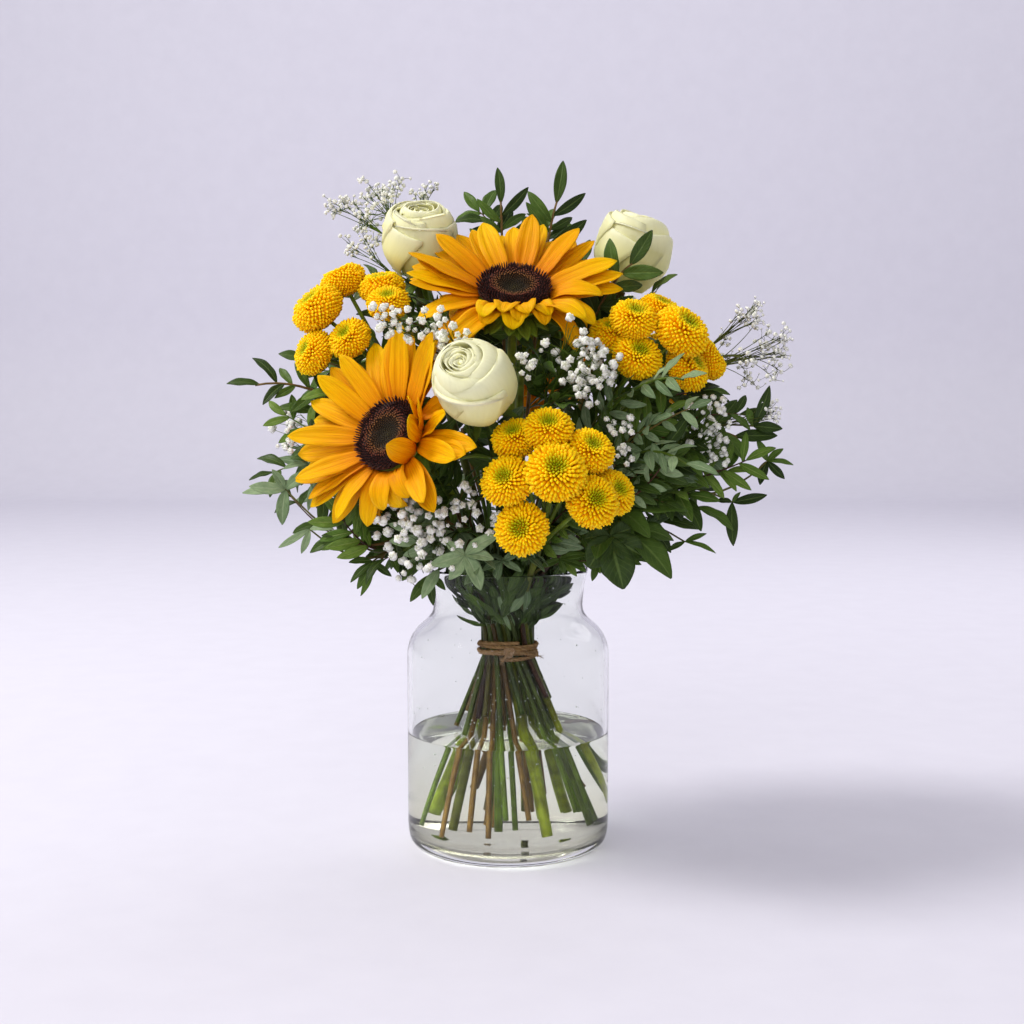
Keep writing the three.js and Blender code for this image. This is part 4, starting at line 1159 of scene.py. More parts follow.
def button_spray(spray, seed):
    """A stem that forks into twigs, with a head on each and a notched leaf here and there."""
    heads, green = new_piece(), new_piece()
    stem = spray["stem"]
    grow_stem(green, stem, 0.85, 0.05 + 0.4 * chance(seed, 4))
    tree = corners(f"mum_{spray['name']}_stem")
    fork = np.array(spray["fork"], float)
    for k, (x, y, z, radius) in enumerate(spray["heads"]):
        centre = np.array((x, y, z), float)
        facing = unit(unit(centre - fork) + (0, -0.15, 0.15))
        button_head(heads, centre, facing, radius, seed + k)
        end = centre - facing * (0.5 * radius)
        share = 0.98 - 0.2 * k / len(spray["heads"])
        start, way = on_line(stem.line, share)
        twig = pulled(start, (start + end) / 2 + way * 6, end, 9)
        sweep(green, twig, np.linspace(1.7, 1.3, 9), 8, 0.25)
        sweep(green, [end - facing * 3, end - facing, end + facing * 2], (1.5, 5, 8), 12, 0.2)
        if k % 3 == 0:
            side = unit(np.cross(facing, UP)) * (1 if k % 2 else -1)
            way = side + facing * 0.5 - UP * 0.3
            bend = -0.5 - chance(k, seed)
            root = on_line(stem.coarse, share)[0]
            if near(tree, tip_of(root, way, UP, 26, 0.2, bend)) < ON_IT:
                blade(green, LEAF, start, way, UP, 26, 13, 0.2, bend, outline=notched, wave=0.15, tint=0.3)
    name = spray["name"]
    finish(f"{name}_chrysanthemum_heads", heads, button.material, "chrysanthemum_petal", f"mum_{name}_heads")
    finish(f"{name}_chrysanthemum_stem", green, stem_skin.material, "flower_stem", f"mum_{name}_stem")


for i, spray in enumerate(MUMS):
    button_spray(spray, 80 + i)

# %% [markdown]
# ## Gypsophila
# Gypsophila is a cloud of small white pompons on thread-thin forking stalks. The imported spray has
# one spindle for each branch. Here each branch forks again into fine twigs that end in a ruffled
# floret or a closed bud, so the spray fills the same space with air between its flowers. The two
# outer sprays are a smaller kind, with tiny florets crowded at the ends of their branches.

# %% Floret template and finishes
def floret_template():
    """A ruffled ball: a sphere of fifty faces whose points stand in and out by turns."""
    bm = bmesh.new()
    bmesh.ops.create_uvsphere(bm, u_segments=10, v_segments=5, radius=1)
    for k, vertex in enumerate(bm.verts):
        spoke = round(math.atan2(vertex.co.y, vertex.co.x) / TURN * 10) + round(vertex.co.z * 2)
        vertex.co *= (1.13 if spoke % 2 else 0.81) + 0.12 * chance(k, 1)
        vertex.co.z *= 0.85
    bmesh.ops.recalc_face_normals(bm, faces=bm.faces)
    layer = bm.loops.layers.uv.new("along")
    for face in bm.faces:
        for loop in face.loops:
            # The map runs from the hollows between the ruffles to their crests, so that the finish paints
            # shade into the hollows.
            loop[layer].uv = (0.5, (loop.vert.co.length - 0.65) / 0.6)
    return templated(bm)


FLORET, FLORET_R = floret_template(), 3.3
CROWD = 1.45  # florets stand this much of their two radii apart, measured along the axes
white = Finish(
    "gypsophila_white", Specular_IOR_Level=0.2, Subsurface_Weight=0.2, Subsurface_Scale=0.002,
    Subsurface_Radius=(1.0, 0.95, 0.9))
# Grey-green in the floret's hollows and white on its ruffles: painted shade.
white_with_painted_hollow_shade = white.ramp(white.share(1), [
    (0.1, (0.52, 0.53, 0.36)), (0.45, (0.90, 0.90, 0.83)), (0.75, (0.99, 0.99, 0.96))])
soft = white.noise(0.9)
ruffled = white.ramp(soft, [(0.3, (0.78, 0.78, 0.72)), (0.52, (1, 1, 1))])
white.colour(white.mix(1.0, white_with_painted_hollow_shade, ruffled, "MULTIPLY")).bump(soft, 0.6)


def floret(piece, centre, way, size, seed, taken):
    """Stamps a floret, unless it would crowd one that is there already."""
    for x, y, z, other in taken:
        if abs(centre[0] - x) + abs(centre[1] - y) + abs(centre[2] - z) < CROWD * (size + other):
            return False
    taken.append((*centre, size))
    stamp(piece, FLORET, centre + FLORET[1] * size @ frame_of(way, seed), chance(seed, 5))
    return True


# %% Sprays
TINY = {"top_left": 0.4, "right": 0.55}  # the sprays of small florets, and how brown their stalks are
DENSE = ("right", "lower_left", "middle_right")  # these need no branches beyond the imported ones
BRANCH_TURN = 2.39996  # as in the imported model


def gypsophila(name, reach, count, stem, seed):
    """A spray: its packed branches, as many again where there is room, and twigs with florets."""
    flowers, stalks, taken = new_piece(), new_piece(), []
    tree = settle(stem, f"gypsophila_{name}")
    tiny, brown = name in TINY, TINY.get(name, 0.4)
    size, first, twig, twigs = (1.6, 0.72, 4, 9) if tiny else (2.9, 0.5, 7, 5)
    grow_stem(stalks, stem, 0.5, brown, 8)
    for i in range(2 * count):
        share = 0.72 + 0.28 * math.sqrt((i % count + 0.5) / count)
        start, ahead = on_line(stem.coarse, min(share, 0.98))
        angle, open_by = i * BRANCH_TURN, 0.35 + 0.9 * chance(i, seed)
        cos, sin, out = math.cos(angle), math.sin(angle), math.sin(open_by)
        way = np.array((cos * out, sin * out, math.cos(open_by))) @ frame_of(ahead)
        long = reach * (0.55 + 0.45 * chance(i, seed + 1))
        packed = i < count
        if packed and near(tree, start + way * (long + FLORET_R)) > ON_IT:
            continue
        end = start + way * (long if packed else 0.8 * long)
        if not packed and (name in DENSE or crowded(end)):
            continue
        line = bent(on_line(stem.line, min(share, 0.98))[0], ahead + way * 1.5, end, 8)
        sweep(stalks, line, np.linspace(0.6, 0.3, 8) * (0.6 if tiny else 1), 5, brown)
        floret(flowers, end, way, size * (0.85 + 0.3 * chance(i, 2)), i, taken)
        for k in range(twigs):
            n = 10 * i + k
            fork, onward = on_line(line, first + (0.97 - first) * chance(n, seed + 2))
            spread = unit((chance(n, 3) - 0.5, chance(n, 4) - 0.5, chance(n, 6) - 0.35))
            out = unit(onward * 0.6 + spread)
            twig_end = fork + out * twig * (1 + 1.4 * chance(n, 7))
            if crowded(twig_end):
                continue
            bud = chance(n, 8) < 0.25
            opened = 0.4 + 0.1 * chance(n, 9) if bud else 0.65 + 0.45 * chance(n, 9)
            if floret(flowers, twig_end, out, size * opened, n, taken):
                radii = np.linspace(0.3, 0.18, 5) * (0.7 if tiny else 1)
                sweep(stalks, bent(fork, onward, twig_end, 5), radii, 4, brown)
    finish(f"{name}_gypsophila_flowers", flowers, white.material, "gypsophila_white", f"gypsophila_{name}")
    finish(f"{name}_gypsophila_stalks", stalks, stem_skin.material, "flower_stem", f"gypsophila_{name}")


for i, (name, tip, reach, count) in enumerate(GYPSOPHILA):
    gypsophila(name, reach, count, STEMS[FIRST_SPRAY + i], 90 + 3 * i)

# %% [markdown]
# Smaller sprigs come out between the flowers. Each grows from the stem that passes nearest behind
# it, and forks twice, first into branches and then to the florets that are seen there.

# %% Sprigs
SPRIGS = [  # centre, half the width and the height, florets, their radius
    ((-66, -98, 362), 26, 11, 57, 2.7), ((-34, -106, 356), 18, 12, 45, 2.7),
    ((10, -104, 337), 16, 13, 39, 2.5), ((38, -98, 352), 22, 13, 42, 2.6),
    ((50, -98, 328), 17, 17, 42, 2.6), ((6, -116, 300), 15, 11, 36, 1.9),
    ((-34, -110, 297), 11, 9, 15, 2.2), ((-80, -92, 242), 18, 16, 24, 3.1),
    ((-48, -95, 226), 20, 12, 18, 3.2), ((-28, -98, 252), 14, 16, 18, 2.9),
    ((128, -50, 298), 24, 13, 45, 2.4), ((142, -40, 282), 14, 14, 27, 2.4),
    ((-146, -58, 282), 5, 22, 12, 2.1), ((70, -98, 288), 6, 22, 24, 2.3),
    ((-16, -98, 234), 5, 4, 6, 3.4), ((167, -6, 371), 13, 10, 78, 1.5),
    ((186, -6, 346), 13, 12, 84, 1.5), ((183, -6, 302), 8, 9, 54, 1.5),
    ((-118, 20, 446), 16, 9, 54, 1.45), ((-92, 22, 452), 15, 9, 48, 1.45),
    ((-106, 18, 418), 15, 12, 54, 1.45), ((-78, 10, 404), 14, 12, 48, 1.45),
    ((-58, 34, 456), 14, 7, 42, 1.45), ((40, 120, 300), 24, 20, 30, 3.4),
    ((-60, 104, 270), 24, 20, 30, 3.4), ((96, 78, 366), 20, 14, 24, 3.2),
    ((-100, 70, 330), 22, 16, 26, 3.4), ((-150, 10, 290), 14, 18, 20, 3.2),
]


def side_line(tip):
    """From the stem that passes nearest to a point behind and below the tip."""
    aim = np.array((tip[0] * 0.62, tip[1] * 0.62, tip[2] - 34))
    found = [(np.linalg.norm(p - aim), p, unit(stem.line[k + 1] - p))
             for stem in STEMS for k, p in enumerate(stem.line[6:-2], 6)]
    _, place, ahead = min(found, key=lambda entry: entry[0])
    return place, ahead


sprigs, sprig_stalks, taken = new_piece(), new_piece(), []
for i, (centre, wide, high_by, count, size) in enumerate(SPRIGS):
    centre = np.array(centre, float)
    brown = 0.55 if size < 2 and centre[0] > 100 else 0.4
    start, ahead = side_line(centre)
    hub = start + (centre - start) * 0.4
    sweep(sprig_stalks, bent(start, ahead, hub, 8), np.linspace(0.6, 0.4, 8), 6, brown)
    each = 6 if size < 2 else 3  # florets on a branch
    for k in range(count):
        n = 60 * i + k
        if k % each == 0:
            out, around, back = chance(n, 1) ** 0.5, TURN * chance(n, 2), 8 * (chance(n, 3) - 0.5)
            sideways, upward = math.cos(around) * out * wide * 0.85, math.sin(around) * out * high_by * 0.85
            fork = centre + (sideways, back, upward)
            fork = fork + (hub - fork) * 0.12
            branch = bent(hub, hub - start + UP * 12 * (chance(n, 8) - 0.5), fork, 9)
            sweep(sprig_stalks, branch, np.linspace(0.32, 0.2, 9), 4, brown)
        spot = fork + np.array([chance(n, j) - 0.5 for j in (5, 6, 7)]) * size * 5.5 + (fork - hub) * 0.06
        if crowded(spot, before=12):
            continue
        if floret(sprigs, spot, spot - hub, size * (0.6 + 0.5 * chance(n, 4)), n, taken):
            early = on_line(branch, 0.8 + 0.19 * chance(n, 9))[0]
            sweep(sprig_stalks, bent(early, fork - hub, spot, 5), np.linspace(0.2, 0.13, 5), 4, brown)
finish("gypsophila_sprig_flowers", sprigs, white.material, "gypsophila_white")
finish("gypsophila_sprig_stalks", sprig_stalks, stem_skin.material, "flower_stem")

# %% [markdown]
# ## Leaves
# The foliage is of four kinds: glossy dark green leaflets, soft grey-green oval ones, fresh green
# ones, and a dark leaf with five pointed lobes like an ivy leaf. All have a raised midrib and slanting
# side veins, which the map along draws in colour and in relief, and each leaf is a little darker or
# paler than the next.

# %% Leaf finishes
def leaf_finish(name, dark, light, vein, gloss):
    """A leaf between two shades, with paler veins."""
    leaf = Finish(name, Specular_IOR_Level=0.25)
    across = leaf.maths("ABSOLUTE", leaf.maths("SUBTRACT", leaf.share(0), 0.5))
    slanted = leaf.maths("SUBTRACT", leaf.share(1), leaf.maths("MULTIPLY", across, 0.55))
    rows = leaf.maths("SINE", leaf.maths("MULTIPLY", slanted, 52.0))
    side_veins = leaf.ramp(rows, [(0.0, (0, 0, 0)), (0.82, (0, 0, 0)), (1.0, (1, 1, 1))])
    midrib = leaf.ramp(across, [(0.0, (1, 1, 1)), (0.03, (0.8, 0.8, 0.8)), (0.06, (0, 0, 0))])
    veins = leaf.mix(0.35, midrib, side_veins, "ADD")
    mottle = leaf.noise(0, leaf.along(5, 6), detail=5.0)
    body = leaf.mix(leaf.tint(), dark, light)
    patches = leaf.ramp(mottle, [(0.3, (0.66, 0.7, 0.6)), (0.7, (1.12, 1.08, 1.0))])
    body = leaf.mix(1.0, body, patches, "MULTIPLY")
    leaf.colour(leaf.mix(leaf.maths("MULTIPLY", veins, 0.4), body, vein))
    relief = leaf.maths("ADD", leaf.maths("MULTIPLY", veins, -0.6), leaf.maths("MULTIPLY", mottle, 0.4))
    return leaf.rough(mottle, gloss, gloss + 0.2).bump(relief, 0.35)


LEAF_COLOURS = [  # name, darkest, palest, veins, roughness
    ("glossy_dark_leaf", (0.014, 0.032, 0.004), (0.09, 0.165, 0.024), (0.16, 0.24, 0.06), 0.35),
    ("grey_green_leaf", (0.11, 0.18, 0.085), (0.29, 0.40, 0.23), (0.40, 0.48, 0.3), 0.5),
    ("fresh_green_leaf", (0.06, 0.13, 0.013), (0.16, 0.26, 0.04), (0.28, 0.35, 0.1), 0.4),
]
glossy, dusty, fresh = [leaf_finish(*colours) for colours in LEAF_COLOURS]
LEAF_KINDS = {
    "dark": (glossy, "leaf_green"), "grey": (dusty, "leaf_grey_green"), "fresh": (fresh, "leaf_green"),
    "lobed": (glossy, "leaf_green"),
}


def by_kind(*kinds):
    """A new piece for each kind of leaf."""
    return {kind: new_piece() for kind in kinds}


def finish_leaves(group, pieces):
    """Finishes a group's pieces, one for each kind of leaf."""
    for kind, piece in pieces.items():
        finish(f"{group}_{kind}_leaves", piece, LEAF_KINDS[kind][0].material, LEAF_KINDS[kind][1])


# %% One leaf
LOBES = [  # each lobe's turn from the middle one, and its share of the leaf's length and width
    (0, 0.95, 0.62), (-0.8, 0.7, 0.5), (0.85, 0.66, 0.5), (-1.7, 0.42, 0.4), (1.75, 0.44, 0.4),
]


def leaf(piece, kind, root, way, up, length, width, start, end, tint, template=LEAF):
    """One leaf: a single blade, or five of them for the lobed kind."""
    shape = {"fold": 0.22, "wave": 0.16, "thick": 0.45, "tint": tint, "sway": 0.25 * (tint - 0.5)}
    if kind != "lobed":
        blade(piece, template, root, way, up, length, width, start, end, roll=0.5 * (tint - 0.5), **shape)
        return
    side, ahead, normal = blade_frame(way, up)
    root = root + ahead * length * 0.12
    for turn, long, wide in LOBES:
        lobe_way = ahead * math.cos(turn) + side * math.sin(turn)
        blade(piece, template, root, lobe_way, normal, length * 0.88 * long, width * wide,
              start, end, **shape)


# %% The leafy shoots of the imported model
SLIM = {"left_broad": 0.5, "grey_high": 0.72, "grey_low": 0.72, "left_high": 0.72, "lobed": 1.0}
USUAL_SLIM = 0.82  # leaves are this much of their packed width
LIFTS = (0.15, 0.5, -0.3, 0.9, -0.7)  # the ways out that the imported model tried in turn


def leafy_shoot(entry, stem, seed):
    """A packed shoot: each of its leaves where the solid has it, and smaller ones between them."""
    name, tip, pairs, (length, width), kind = entry
    piece, twig = new_piece(), new_piece()
    tree = settle(stem, f"foliage_{name}")
    grow_stem(twig, stem, 0.4, 0.72 if kind == "dark" else 0.4, 8)
    outward = np.array((0.004 * tip[0], -1 if tip[1] < 50 else 1, 0.7))

    def place(share, side, i, size=1.0):
        """A leaf at this share of the stem, on one side of it or at its tip (0)."""
        start, ahead = on_line(stem.coarse, share)
        across = unit(np.cross(ahead, outward))
        up = np.cross(across, ahead)
        packed = size == 1.0
        size *= 0.85 + 0.3 * chance(i, seed)
        bend = -0.25 - 0.5 * chance(i, seed + 1)
        ways = [ahead * (0.62 if side else 1) + across * side * 0.8 + up * (lift if side else 0)
                for lift in LIFTS]
        ends = [tip_of(start, way, up, length * size, 0.15, bend) for way in ways]
        best = min(range(len(LIFTS)), key=lambda k: near(tree, ends[k])) if packed else i % 3
        if near(tree, ends[best]) > ON_IT if packed else crowded(ends[best], (start + ends[best]) / 2):
            return
        leaf(piece, kind, on_line(stem.line, share)[0], ways[best], up, length * size,
             width * size * SLIM.get(name, USUAL_SLIM), 0.15, bend, chance(i, seed + 2))

    place(0.985, 0, 99)
    for i in range(pairs):
        share = 0.93 - i * 0.42 / pairs
        place(share, 1, 2 * i)
        place(share - 0.025, -1, 2 * i + 1)
        if kind != "lobed":
            place(share - 0.2 / pairs, 1, 50 + 2 * i, 0.8)
            place(share - 0.24 / pairs, -1, 51 + 2 * i, 0.78)
    found, slot = LEAF_KINDS[kind]
    finish(f"{name}_leaves", piece, found.material, slot, f"foliage_{name}")
    finish(f"{name}_leaf_stem", twig, stem_skin.material, "flower_stem", f"foliage_{name}")


for i, entry in enumerate(FOLIAGE):
    leafy_shoot(entry, STEMS[FIRST_SHOOT + i], 120 + 3 * i)

# %% [markdown]
# ## Side shoots
# Between the flowers there are leaves at every depth. They are side shoots of the stems that are
# already there, so each one starts from the nearest stem that passes behind its tip. The first table
# holds the ones that show. The rings after it fill the dark inside of the bouquet, where no light
# should come through, and leave out every leaf that would stand in a flower.

# %% Side shoots
SIDE_SHOOTS = [  # tip, pairs of leaves, leaf length and width, kind
    ((99, -66, 268), 4, (22, 7), "dark"), ((127, -46, 287), 4, (22, 7), "dark"),
    ((148, -24, 262), 4, (24, 7), "fresh"), ((91, -88, 296), 3, (17, 7), "grey"),
    ((160, 0, 300), 3, (24, 7), "dark"), ((76, -78, 262), 4, (20, 7), "grey"),
    ((102, -60, 244), 4, (20, 7), "dark"), ((-132, -50, 268), 3, (22, 7), "grey"),
    ((-108, -64, 234), 4, (22, 7), "fresh"), ((-146, -30, 246), 3, (24, 8), "dark"),
    ((-112, -40, 282), 3, (24, 8), "dark"), ((-80, -74, 208), 3, (22, 6), "dark"),
    ((-60, -84, 232), 3, (20, 7), "grey"), ((-20, -88, 208), 2, (22, 8), "grey"),
    ((-46, -74, 196), 2, (20, 7), "fresh"), ((10, -86, 212), 3, (18, 6), "grey"),
    ((-14, -90, 250), 3, (20, 7), "dark"), ((-40, -70, 262), 3, (22, 8), "dark"),
    ((36, -80, 232), 3, (19, 7), "fresh"), ((64, -58, 282), 3, (22, 8), "dark"),
    ((-6, -74, 300), 3, (20, 7), "grey"), ((30, -78, 310), 3, (18, 7), "fresh"),
    ((-34, 10, 402), 3, (22, 8), "dark"), ((54, 20, 404), 3, (22, 8), "dark"),
    ((102, 8, 384), 3, (24, 9), "dark"), ((-96, 10, 392), 3, (22, 8), "grey"),
    ((28, 30, 430), 3, (24, 8), "dark"), ((-20, 24, 440), 3, (23, 8), "dark"),
    ((-130, 30, 330), 3, (26, 9), "dark"), ((-70, 60, 352), 3, (26, 9), "dark"),
    ((84, 84, 300), 3, (28, 10), "dark"), ((4, 112, 276), 3, (28, 10), "grey"),
    ((-46, 96, 258), 3, (28, 10), "dark"), ((62, 100, 240), 3, (28, 10), "dark"),
    ((-104, 60, 252), 3, (28, 10), "grey"), ((34, 70, 404), 3, (24, 8), "dark"),
    ((-60, 60, 398), 3, (24, 8), "dark"), ((-150, -20, 300), 3, (20, 6), "fresh"),
    ((-156, -40, 262), 2, (22, 7), "dark"), ((160, -30, 270), 3, (22, 6), "fresh"),
    ((100, -84, 272), 3, (16, 6), "grey"), ((116, -84, 306), 3, (14, 5), "grey"),
    ((60, -20, 372), 3, (22, 8), "dark"), ((50, -44, 316), 3, (24, 10), "dark"),
    ((64, -52, 302), 3, (24, 10), "dark"), ((0, -62, 270), 3, (24, 10), "dark"),
    ((-12, -56, 284), 3, (24, 10), "dark"), ((28, -56, 330), 3, (22, 9), "dark"),
    ((-62, -60, 226), 3, (24, 9), "dark"),
]
RINGS = [  # height, radius, count
    (206, 70, 16), (226, 94, 19), (250, 114, 21), (278, 122, 21),
    (308, 116, 19), (340, 98, 16), (372, 72, 12),
]
OVAL = (1.12, 0.82)  # the rings are wider than they are deep, as the bouquet is
INSIDE = []
for row, (height, reach, count) in enumerate(RINGS):
    for k in range(count):
        angle, n = (k + 0.5 * row) / count * TURN, 40 * row + k
        tip = (reach * OVAL[0] * math.cos(angle), reach * OVAL[1] * math.sin(angle),
               height + 16 * (chance(n, 1) - 0.5))
        kind = "dark" if chance(n, 2) < 0.62 else "fresh" if chance(n, 3) < 0.6 else "grey"
        INSIDE.append((tip, 3 + n % 2, (20 + 8 * chance(n, 4), 7 + 2 * chance(n, 5)), kind))


def side_shoot(pieces, twigs, entry, seed, template):
    """A twig from the nearest stem with pairs of leaves, cut short where it would enter a flower."""
    tip, pairs, (length, width), kind = entry
    tip = np.array(tip, float)
    start, ahead = side_line(tip)
    line = bent(start, ahead + (0, 0, 0.4), tip, 14)
    clear = next((k for k, place in enumerate(line) if k > 3 and crowded(place)), 14)
    line = line[:clear]
    sweep(twigs, line, np.linspace(1.1, 0.4, len(line)), 6, 0.35 + 0.6 * chance(seed, 1))
    outward = np.array((0.004 * tip[0], -1 if tip[1] < 50 else 1, 0.8))
    for i in range(2 * pairs + 1):
        share = 0.99 if i == 0 else 0.95 - (i - 1) // 2 * 0.6 / pairs - 0.04 * (i % 2)
        side = 0 if i == 0 else (1 if i % 2 else -1)
        root, ahead = on_line(line, share)
        across = unit(np.cross(ahead, outward))
        up = np.cross(across, ahead)
        n = 20 * seed + i
        way = ahead * (0.55 if side else 1) + across * side * 0.8 + up * 0.5 * (chance(n, 1) - 0.4)
        size = 0.75 + 0.4 * chance(n, 2)
        bend = -0.2 - 0.7 * chance(n, 3)
        end = tip_of(root, way, up, length * size, 0.2, bend)
        if not crowded(end, (root + end) / 2):
            leaf(pieces[kind], kind, root, way, up, length * size, width * size,
                 0.2, bend, chance(n, 4), template)


filler_twigs = new_piece()
for group, entries, template in (("side_shoot", SIDE_SHOOTS, LEAFLET), ("inner_shoot", INSIDE, BRACT)):
    fillers = by_kind("dark", "grey", "fresh")
    for i, entry in enumerate(entries):
        side_shoot(fillers, filler_twigs, entry, i + len(group), template)
    finish_leaves(group, fillers)

# %% [markdown]
# Some leaves are known one by one from the photograph: the pale cluster that hangs over the rim, and
# the last leaves of the twigs that stand out from the bouquet. Their directions are given as they are
# seen from the front.

# %% Leaves over the rim and at the twig ends
CLUSTERS = [  # where they meet, kind, and for each leaf its direction in degrees, length and width
    ((-27, -97, 214), "grey", [
        (38, 25, 9.5), (2, 20, 8), (-58, 25, 11), (-114, 19, 8.5), (-160, 23, 9), (150, 15, 7)]),
    ((64, -84, 229), "lobed", [(-78, 42, 36)]),
    ((152, -20, 241), "dark", [(8, 24, 7), (-95, 30, 8.5), (165, 12, 4.5), (60, 9, 3)]),
    ((178, -4, 268), "dark", [(3, 18, 4.5), (48, 14, 5), (-52, 17, 6), (-120, 18, 7), (120, 18, 6)]),
    ((168, -4, 292), "dark", [(64, 30, 8), (-8, 20, 8), (115, 14, 6)]),
    ((-88, -66, 206), "dark", [(-142, 20, 5), (-100, 24, 5), (-40, 16, 5), (172, 16, 5)]),
    ((-146, -52, 252), "grey", [(178, 24, 8.5), (-98, 24, 9), (40, 20, 8), (120, 16, 6)]),
    ((-130, -56, 226), "grey", [(-148, 24, 5), (-104, 17, 5), (14, 18, 6)]),
    ((-104, -60, 222), "dark", [(-150, 20, 6), (-80, 16, 6), (170, 18, 5)]),
    ((-50, -74, 198), "dark", [(-130, 22, 7), (-88, 20, 6), (-40, 14, 5)]),
    ((58, -62, 206), "dark", [(-30, 18, 6), (-100, 14, 5), (10, 20, 5)]),
    ((34, -62, 207), "dark", [(-12, 17, 5), (-70, 10, 5), (20, 20, 6), (-160, 14, 5)]),
    ((-4, -66, 206), "grey", [(-20, 15, 5), (-110, 13, 5), (30, 16, 5), (-165, 15, 5)]),
    ((118, -40, 216), "dark", [(-8, 22, 4), (-160, 14, 4), (28, 16, 4)]),
]
rim_leaves, rim_twigs = by_kind("dark", "grey"), new_piece()
for i, (hub, kind, leaves) in enumerate(CLUSTERS):
    hub = np.array(hub, float)
    start, ahead = side_line(hub + (0, 0, 8))
    sweep(rim_twigs, bent(start, ahead, hub, 12), np.linspace(1.0, 0.6, 12), 6, 0.6)
    for k, (degrees, length, width) in enumerate(leaves):
        angle = math.radians(degrees)
        way = (math.cos(angle), -0.25 - 0.2 * chance(k, i), math.sin(angle))
        tint = chance(k, i + 3) if i else 0.7 + 0.3 * chance(k, 3)  # the leaves over the rim are pale
        piece = rim_leaves["grey" if kind == "grey" else "dark"]
        leaf(piece, kind, hub, way, (0.1, -1, 0.5), length, width, 0.15, -0.45, tint)
finish_leaves("twig_end", rim_leaves)
finish("twig_ends", rim_twigs, stem_skin.material, "flower_stem")

# %% [markdown]
# Inside the neck of the vase small leaves stand close round the stems, from just above the twine up
# to the rim, and nearly fill it.

# %% Leaves in the neck
NECK_LEAVES, NECK_FROM, NECK_HIGH = 280, 150, 46
NECK_R, LIP_R, LIP_Z = 46, 48.5, 178  # leaves stay inside these radii, below and above this height

neck = by_kind("dark", "grey", "fresh")
for i in range(NECK_LEAVES):
    angle, up_by = i * GOLDEN, chance(i, 1) ** 0.8
    out = np.array((math.cos(angle), math.sin(angle), 0.0))
    root = out * (16 + 31 * up_by * chance(i, 2) ** 0.6) + UP * (NECK_FROM + NECK_HIGH * up_by)
    way = out * (0.25 + 0.5 * chance(i, 3)) + UP * (0.2 + 0.9 * chance(i, 4))
    way = unit(way + np.cross(UP, out) * (chance(i, 6) - 0.5))
    length, width = 13 + 13 * chance(i, 5), 4.5 + 3 * chance(i, 9)
    end = root + way * length
    if math.hypot(end[0], end[1]) > (NECK_R if end[2] < LIP_Z else LIP_R) and end[2] < GLASS_TOP + 2:
        continue
    kind = "dark" if chance(i, 7) < 0.82 else "fresh" if chance(i, 8) < 0.5 else "grey"
    leaf(neck[kind], kind, root, way, out + UP * 0.3, length, width, 0.1, -0.4, 0.6 * chance(i, 10), LEAFLET)
finish_leaves("neck", neck)
finish("side_twigs", filler_twigs, stem_skin.material, "flower_stem")

# %% [markdown]
# ## Jute twine
# The twine is three twisted strands wound four times tightly round the stems, ends in a small knot
# at the front, and is hairy all over. The strands are swept along the winding with a twist of their
# own, and loose fibres stand off them at random.

# %% Jute finish
jute = Finish("jute_twine", Roughness=0.9, Specular_IOR_Level=0.15)
fibres = jute.noise(0, jute.along(5, 60), detail=5.0)
jute_band = jute.ramp(fibres, [
    (0.25, (0.06, 0.03, 0.012)), (0.5, (0.22, 0.12, 0.05)), (0.8, (0.42, 0.28, 0.14))])
reddish = jute.mix(jute.maths("MULTIPLY", jute.tint(), 0.45), jute_band, (0.4, 0.28, 0.2))
jute.colour(reddish).bump(fibres, 0.35)

# %% Winding, knot and tails
TWINE_R, HELIX_R = 1.45, 19.7
WINDINGS, PITCH = 4.1, 2.9


def cord(piece, path, radius, strands, pitch, tint=0.05):
    """Strands that twist round each other along a path."""
    path = np.asarray(path, float)
    ahead = headings(path)
    travelled = np.concatenate(([0], np.cumsum(np.linalg.norm(np.diff(path, axis=0), axis=1))))
    first = np.cross(ahead, UP + 0.01)
    first /= np.linalg.norm(first, axis=1)[:, None]
    second = np.cross(ahead, first)
    for k in range(strands):
        phase = travelled / pitch * TURN + k / strands * TURN
        lie = first * np.cos(phase)[:, None] + second * np.sin(phase)[:, None]
        uneven = 1 + 0.14 * np.sin(travelled * 0.7 + 2 * k)
        sweep(piece, path + lie * radius * 0.5, radius * 0.58 * uneven, 7, tint + 0.12 * k)


def fuzz(piece, path, radius, count, seed):
    """Loose fibres that stand off a cord."""
    for i in range(count):
        place, ahead = on_line(path, chance(i, seed) * 0.99)
        out = unit(np.array([chance(i, seed + k) - 0.5 for k in (1, 2, 3)]) + ahead * 0.3)
        end = place + out * (radius + 1.0 + 2.0 * chance(i, seed + 4))
        sweep(piece, bent(place, ahead, end, 4), (0.09, 0.08, 0.07, 0.04), 3, 0.4)


twine = new_piece()
turns = np.linspace(0, WINDINGS, 340) - 0.04
angle = turns * TURN - math.pi / 2
wander = 0.75 * np.sin(angle * 0.53) + 0.4 * np.sin(angle * 1.7)
lie_out = HELIX_R + 0.5 * np.sin(angle * 0.83)
climb = BIND_Z + (turns - 2.0) * PITCH + wander
winding = np.stack((lie_out * np.cos(angle), lie_out * np.sin(angle), climb), 1)
cord(twine, winding, TWINE_R, 3, 7.5)
fuzz(twine, winding, TWINE_R, 130, 3)
knot_at = np.array((1.0, -HELIX_R - 1.9, BIND_Z - 0.5))
round_knot = np.linspace(0, TURN, 64)
knot = np.stack((np.sin(round_knot) + 2 * np.sin(2 * round_knot), -0.75 * np.sin(3 * round_knot) - 0.2,
                 np.cos(round_knot) - 2 * np.cos(2 * round_knot)), 1) * 1.15 + knot_at
cord(twine, knot, TWINE_R * 0.7, 3, 6, 0.7)
TAILS = [  # where each ends, and how far it arches up on its way
    ((20.5, -13.5, BIND_Z - 4.5), 1), ((-4, -HELIX_R - 3.2, BIND_Z - 7), 0),
]
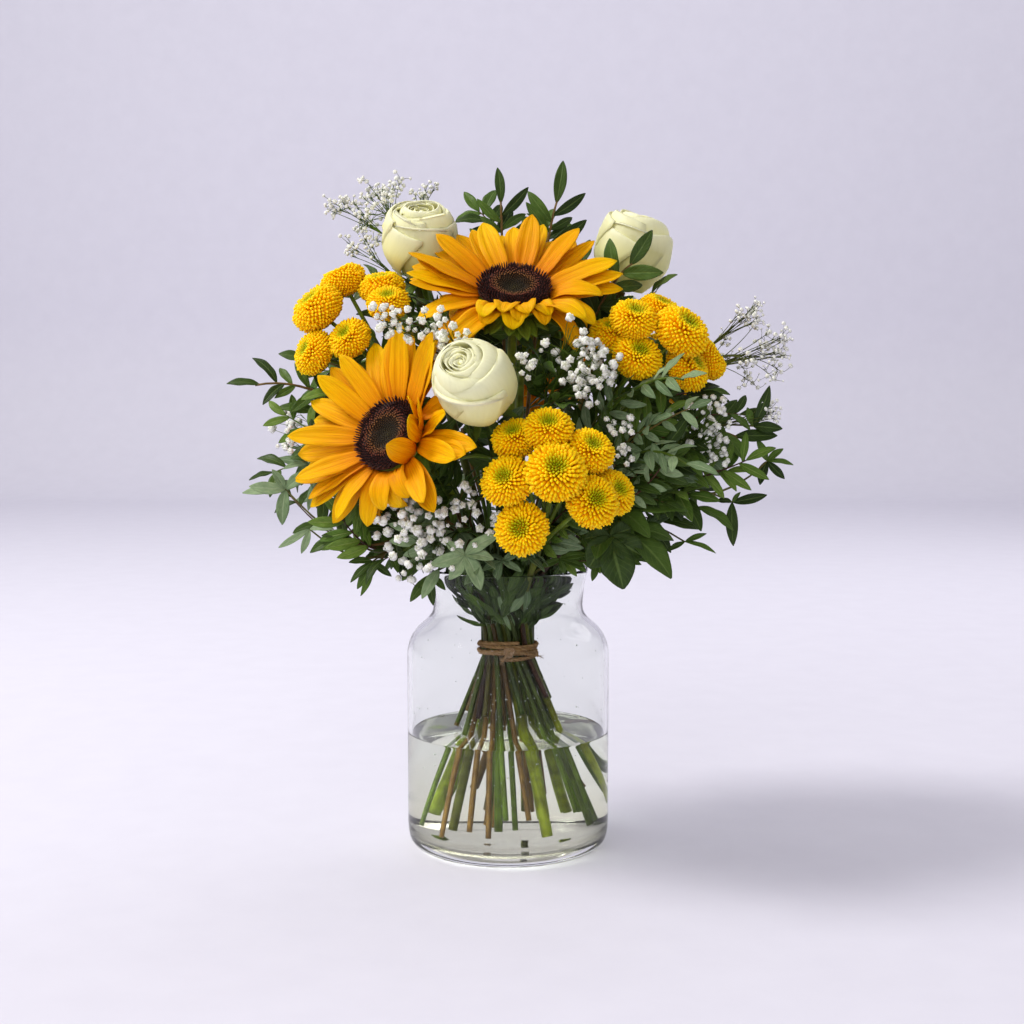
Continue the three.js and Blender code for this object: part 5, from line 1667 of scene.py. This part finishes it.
for tail_end, arch in TAILS:
    tail = pulled(knot_at, (knot_at + tail_end) / 2 + (0, -2.6, arch), np.array(tail_end), 26)
    cord(twine, tail, TWINE_R * 0.75, 3, 6)
    fuzz(twine, tail, TWINE_R, 22, 40 + arch)
    for k in range(9):
        end, onward = tail[-1], tail[-1] - tail[-3]
        splay = np.array([chance(k, 50 + j) - 0.5 for j in range(3)]) * 4 + onward * 2
        sweep(twine, bent(end, onward, end + splay, 4), (0.25, 0.2, 0.15, 0.06), 4, 0.5)
finish("jute_twine_binding", twine, jute.material, "jute_twine", "twine_binding")

# %% [markdown]
# Tiny air bubbles cling to the stems under the water, most of them just below its surface. Drops of
# spray hang on the stems above it and, flattened, on the inside of the glass.

# %% Bubbles and drops
BUBBLES, WALL_DROPS = 420, 150
SURFACE = BIND_Z - WATER_Z  # how far the water's surface is below the twine's middle

bm = bmesh.new()
bmesh.ops.create_uvsphere(bm, u_segments=8, v_segments=5, radius=1)
bm.loops.layers.uv.new("along")
BALL = templated(bm)
film = Finish("bubble_film", Roughness=0.05, Transmission_Weight=0.35, IOR=1.2)
film.colour(film.ramp(film.noise(2), [(0.3, (0.85, 0.9, 0.9)), (0.7, (0.97, 0.98, 0.97))]))
bubbles = new_piece()
all_stems = STEMS + SLENDER
for i in range(BUBBLES):
    stem = all_stems[i % len(all_stems)]
    under = i % 3 == 0
    depth = SURFACE + 2 + 52 * chance(i, 1) ** 2.2 if under else SURFACE - 44 * chance(i, 1) ** 1.6
    centre = lower_point(stem.bind, depth)
    around = chance(i, 2) * TURN
    size = 0.22 + 0.36 * chance(i, 3) ** 2
    centre += np.array((math.cos(around), math.sin(around), 0)) * (stem.radius + size * 0.5)
    stamp(bubbles, BALL, centre + BALL[1] * size)
wall_r, wall_z = zip(*VASE_INSIDE[5:0:-1])
for i in range(WALL_DROPS):
    angle, height = TURN * chance(i, 11), WATER_Z + 4 + 104 * chance(i, 12)
    out = np.array((math.cos(angle), math.sin(angle), 0.0))
    on_wall = np.interp(height, wall_z, wall_r) - 0.2
    size = 0.25 + 0.5 * chance(i, 13) ** 3
    flat = BALL[1] - 0.5 * np.outer(BALL[1] @ out, out)
    stamp(bubbles, BALL, out * on_wall + UP * height + flat * size)
finish("stem_air_bubbles", bubbles, film.material, "water")

# %% [markdown]
# ## Sizes, and the end
# The templates have done their work and are removed, and the triangles are counted.

# %% Sizes, and the end
for mesh in [m for m in bpy.data.meshes if not m.users]:
    bpy.data.meshes.remove(mesh)
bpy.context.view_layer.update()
triangles = {}
for piece in (o for o in bpy.data.objects if o.type == "MESH"):
    triangles[piece.name] = sum(len(face.vertices) - 2 for face in piece.data.polygons)
largest = max(triangles, key=triangles.get)
print(sum(triangles.values()), "triangles, the most in one piece:", triangles[largest], "in", largest)
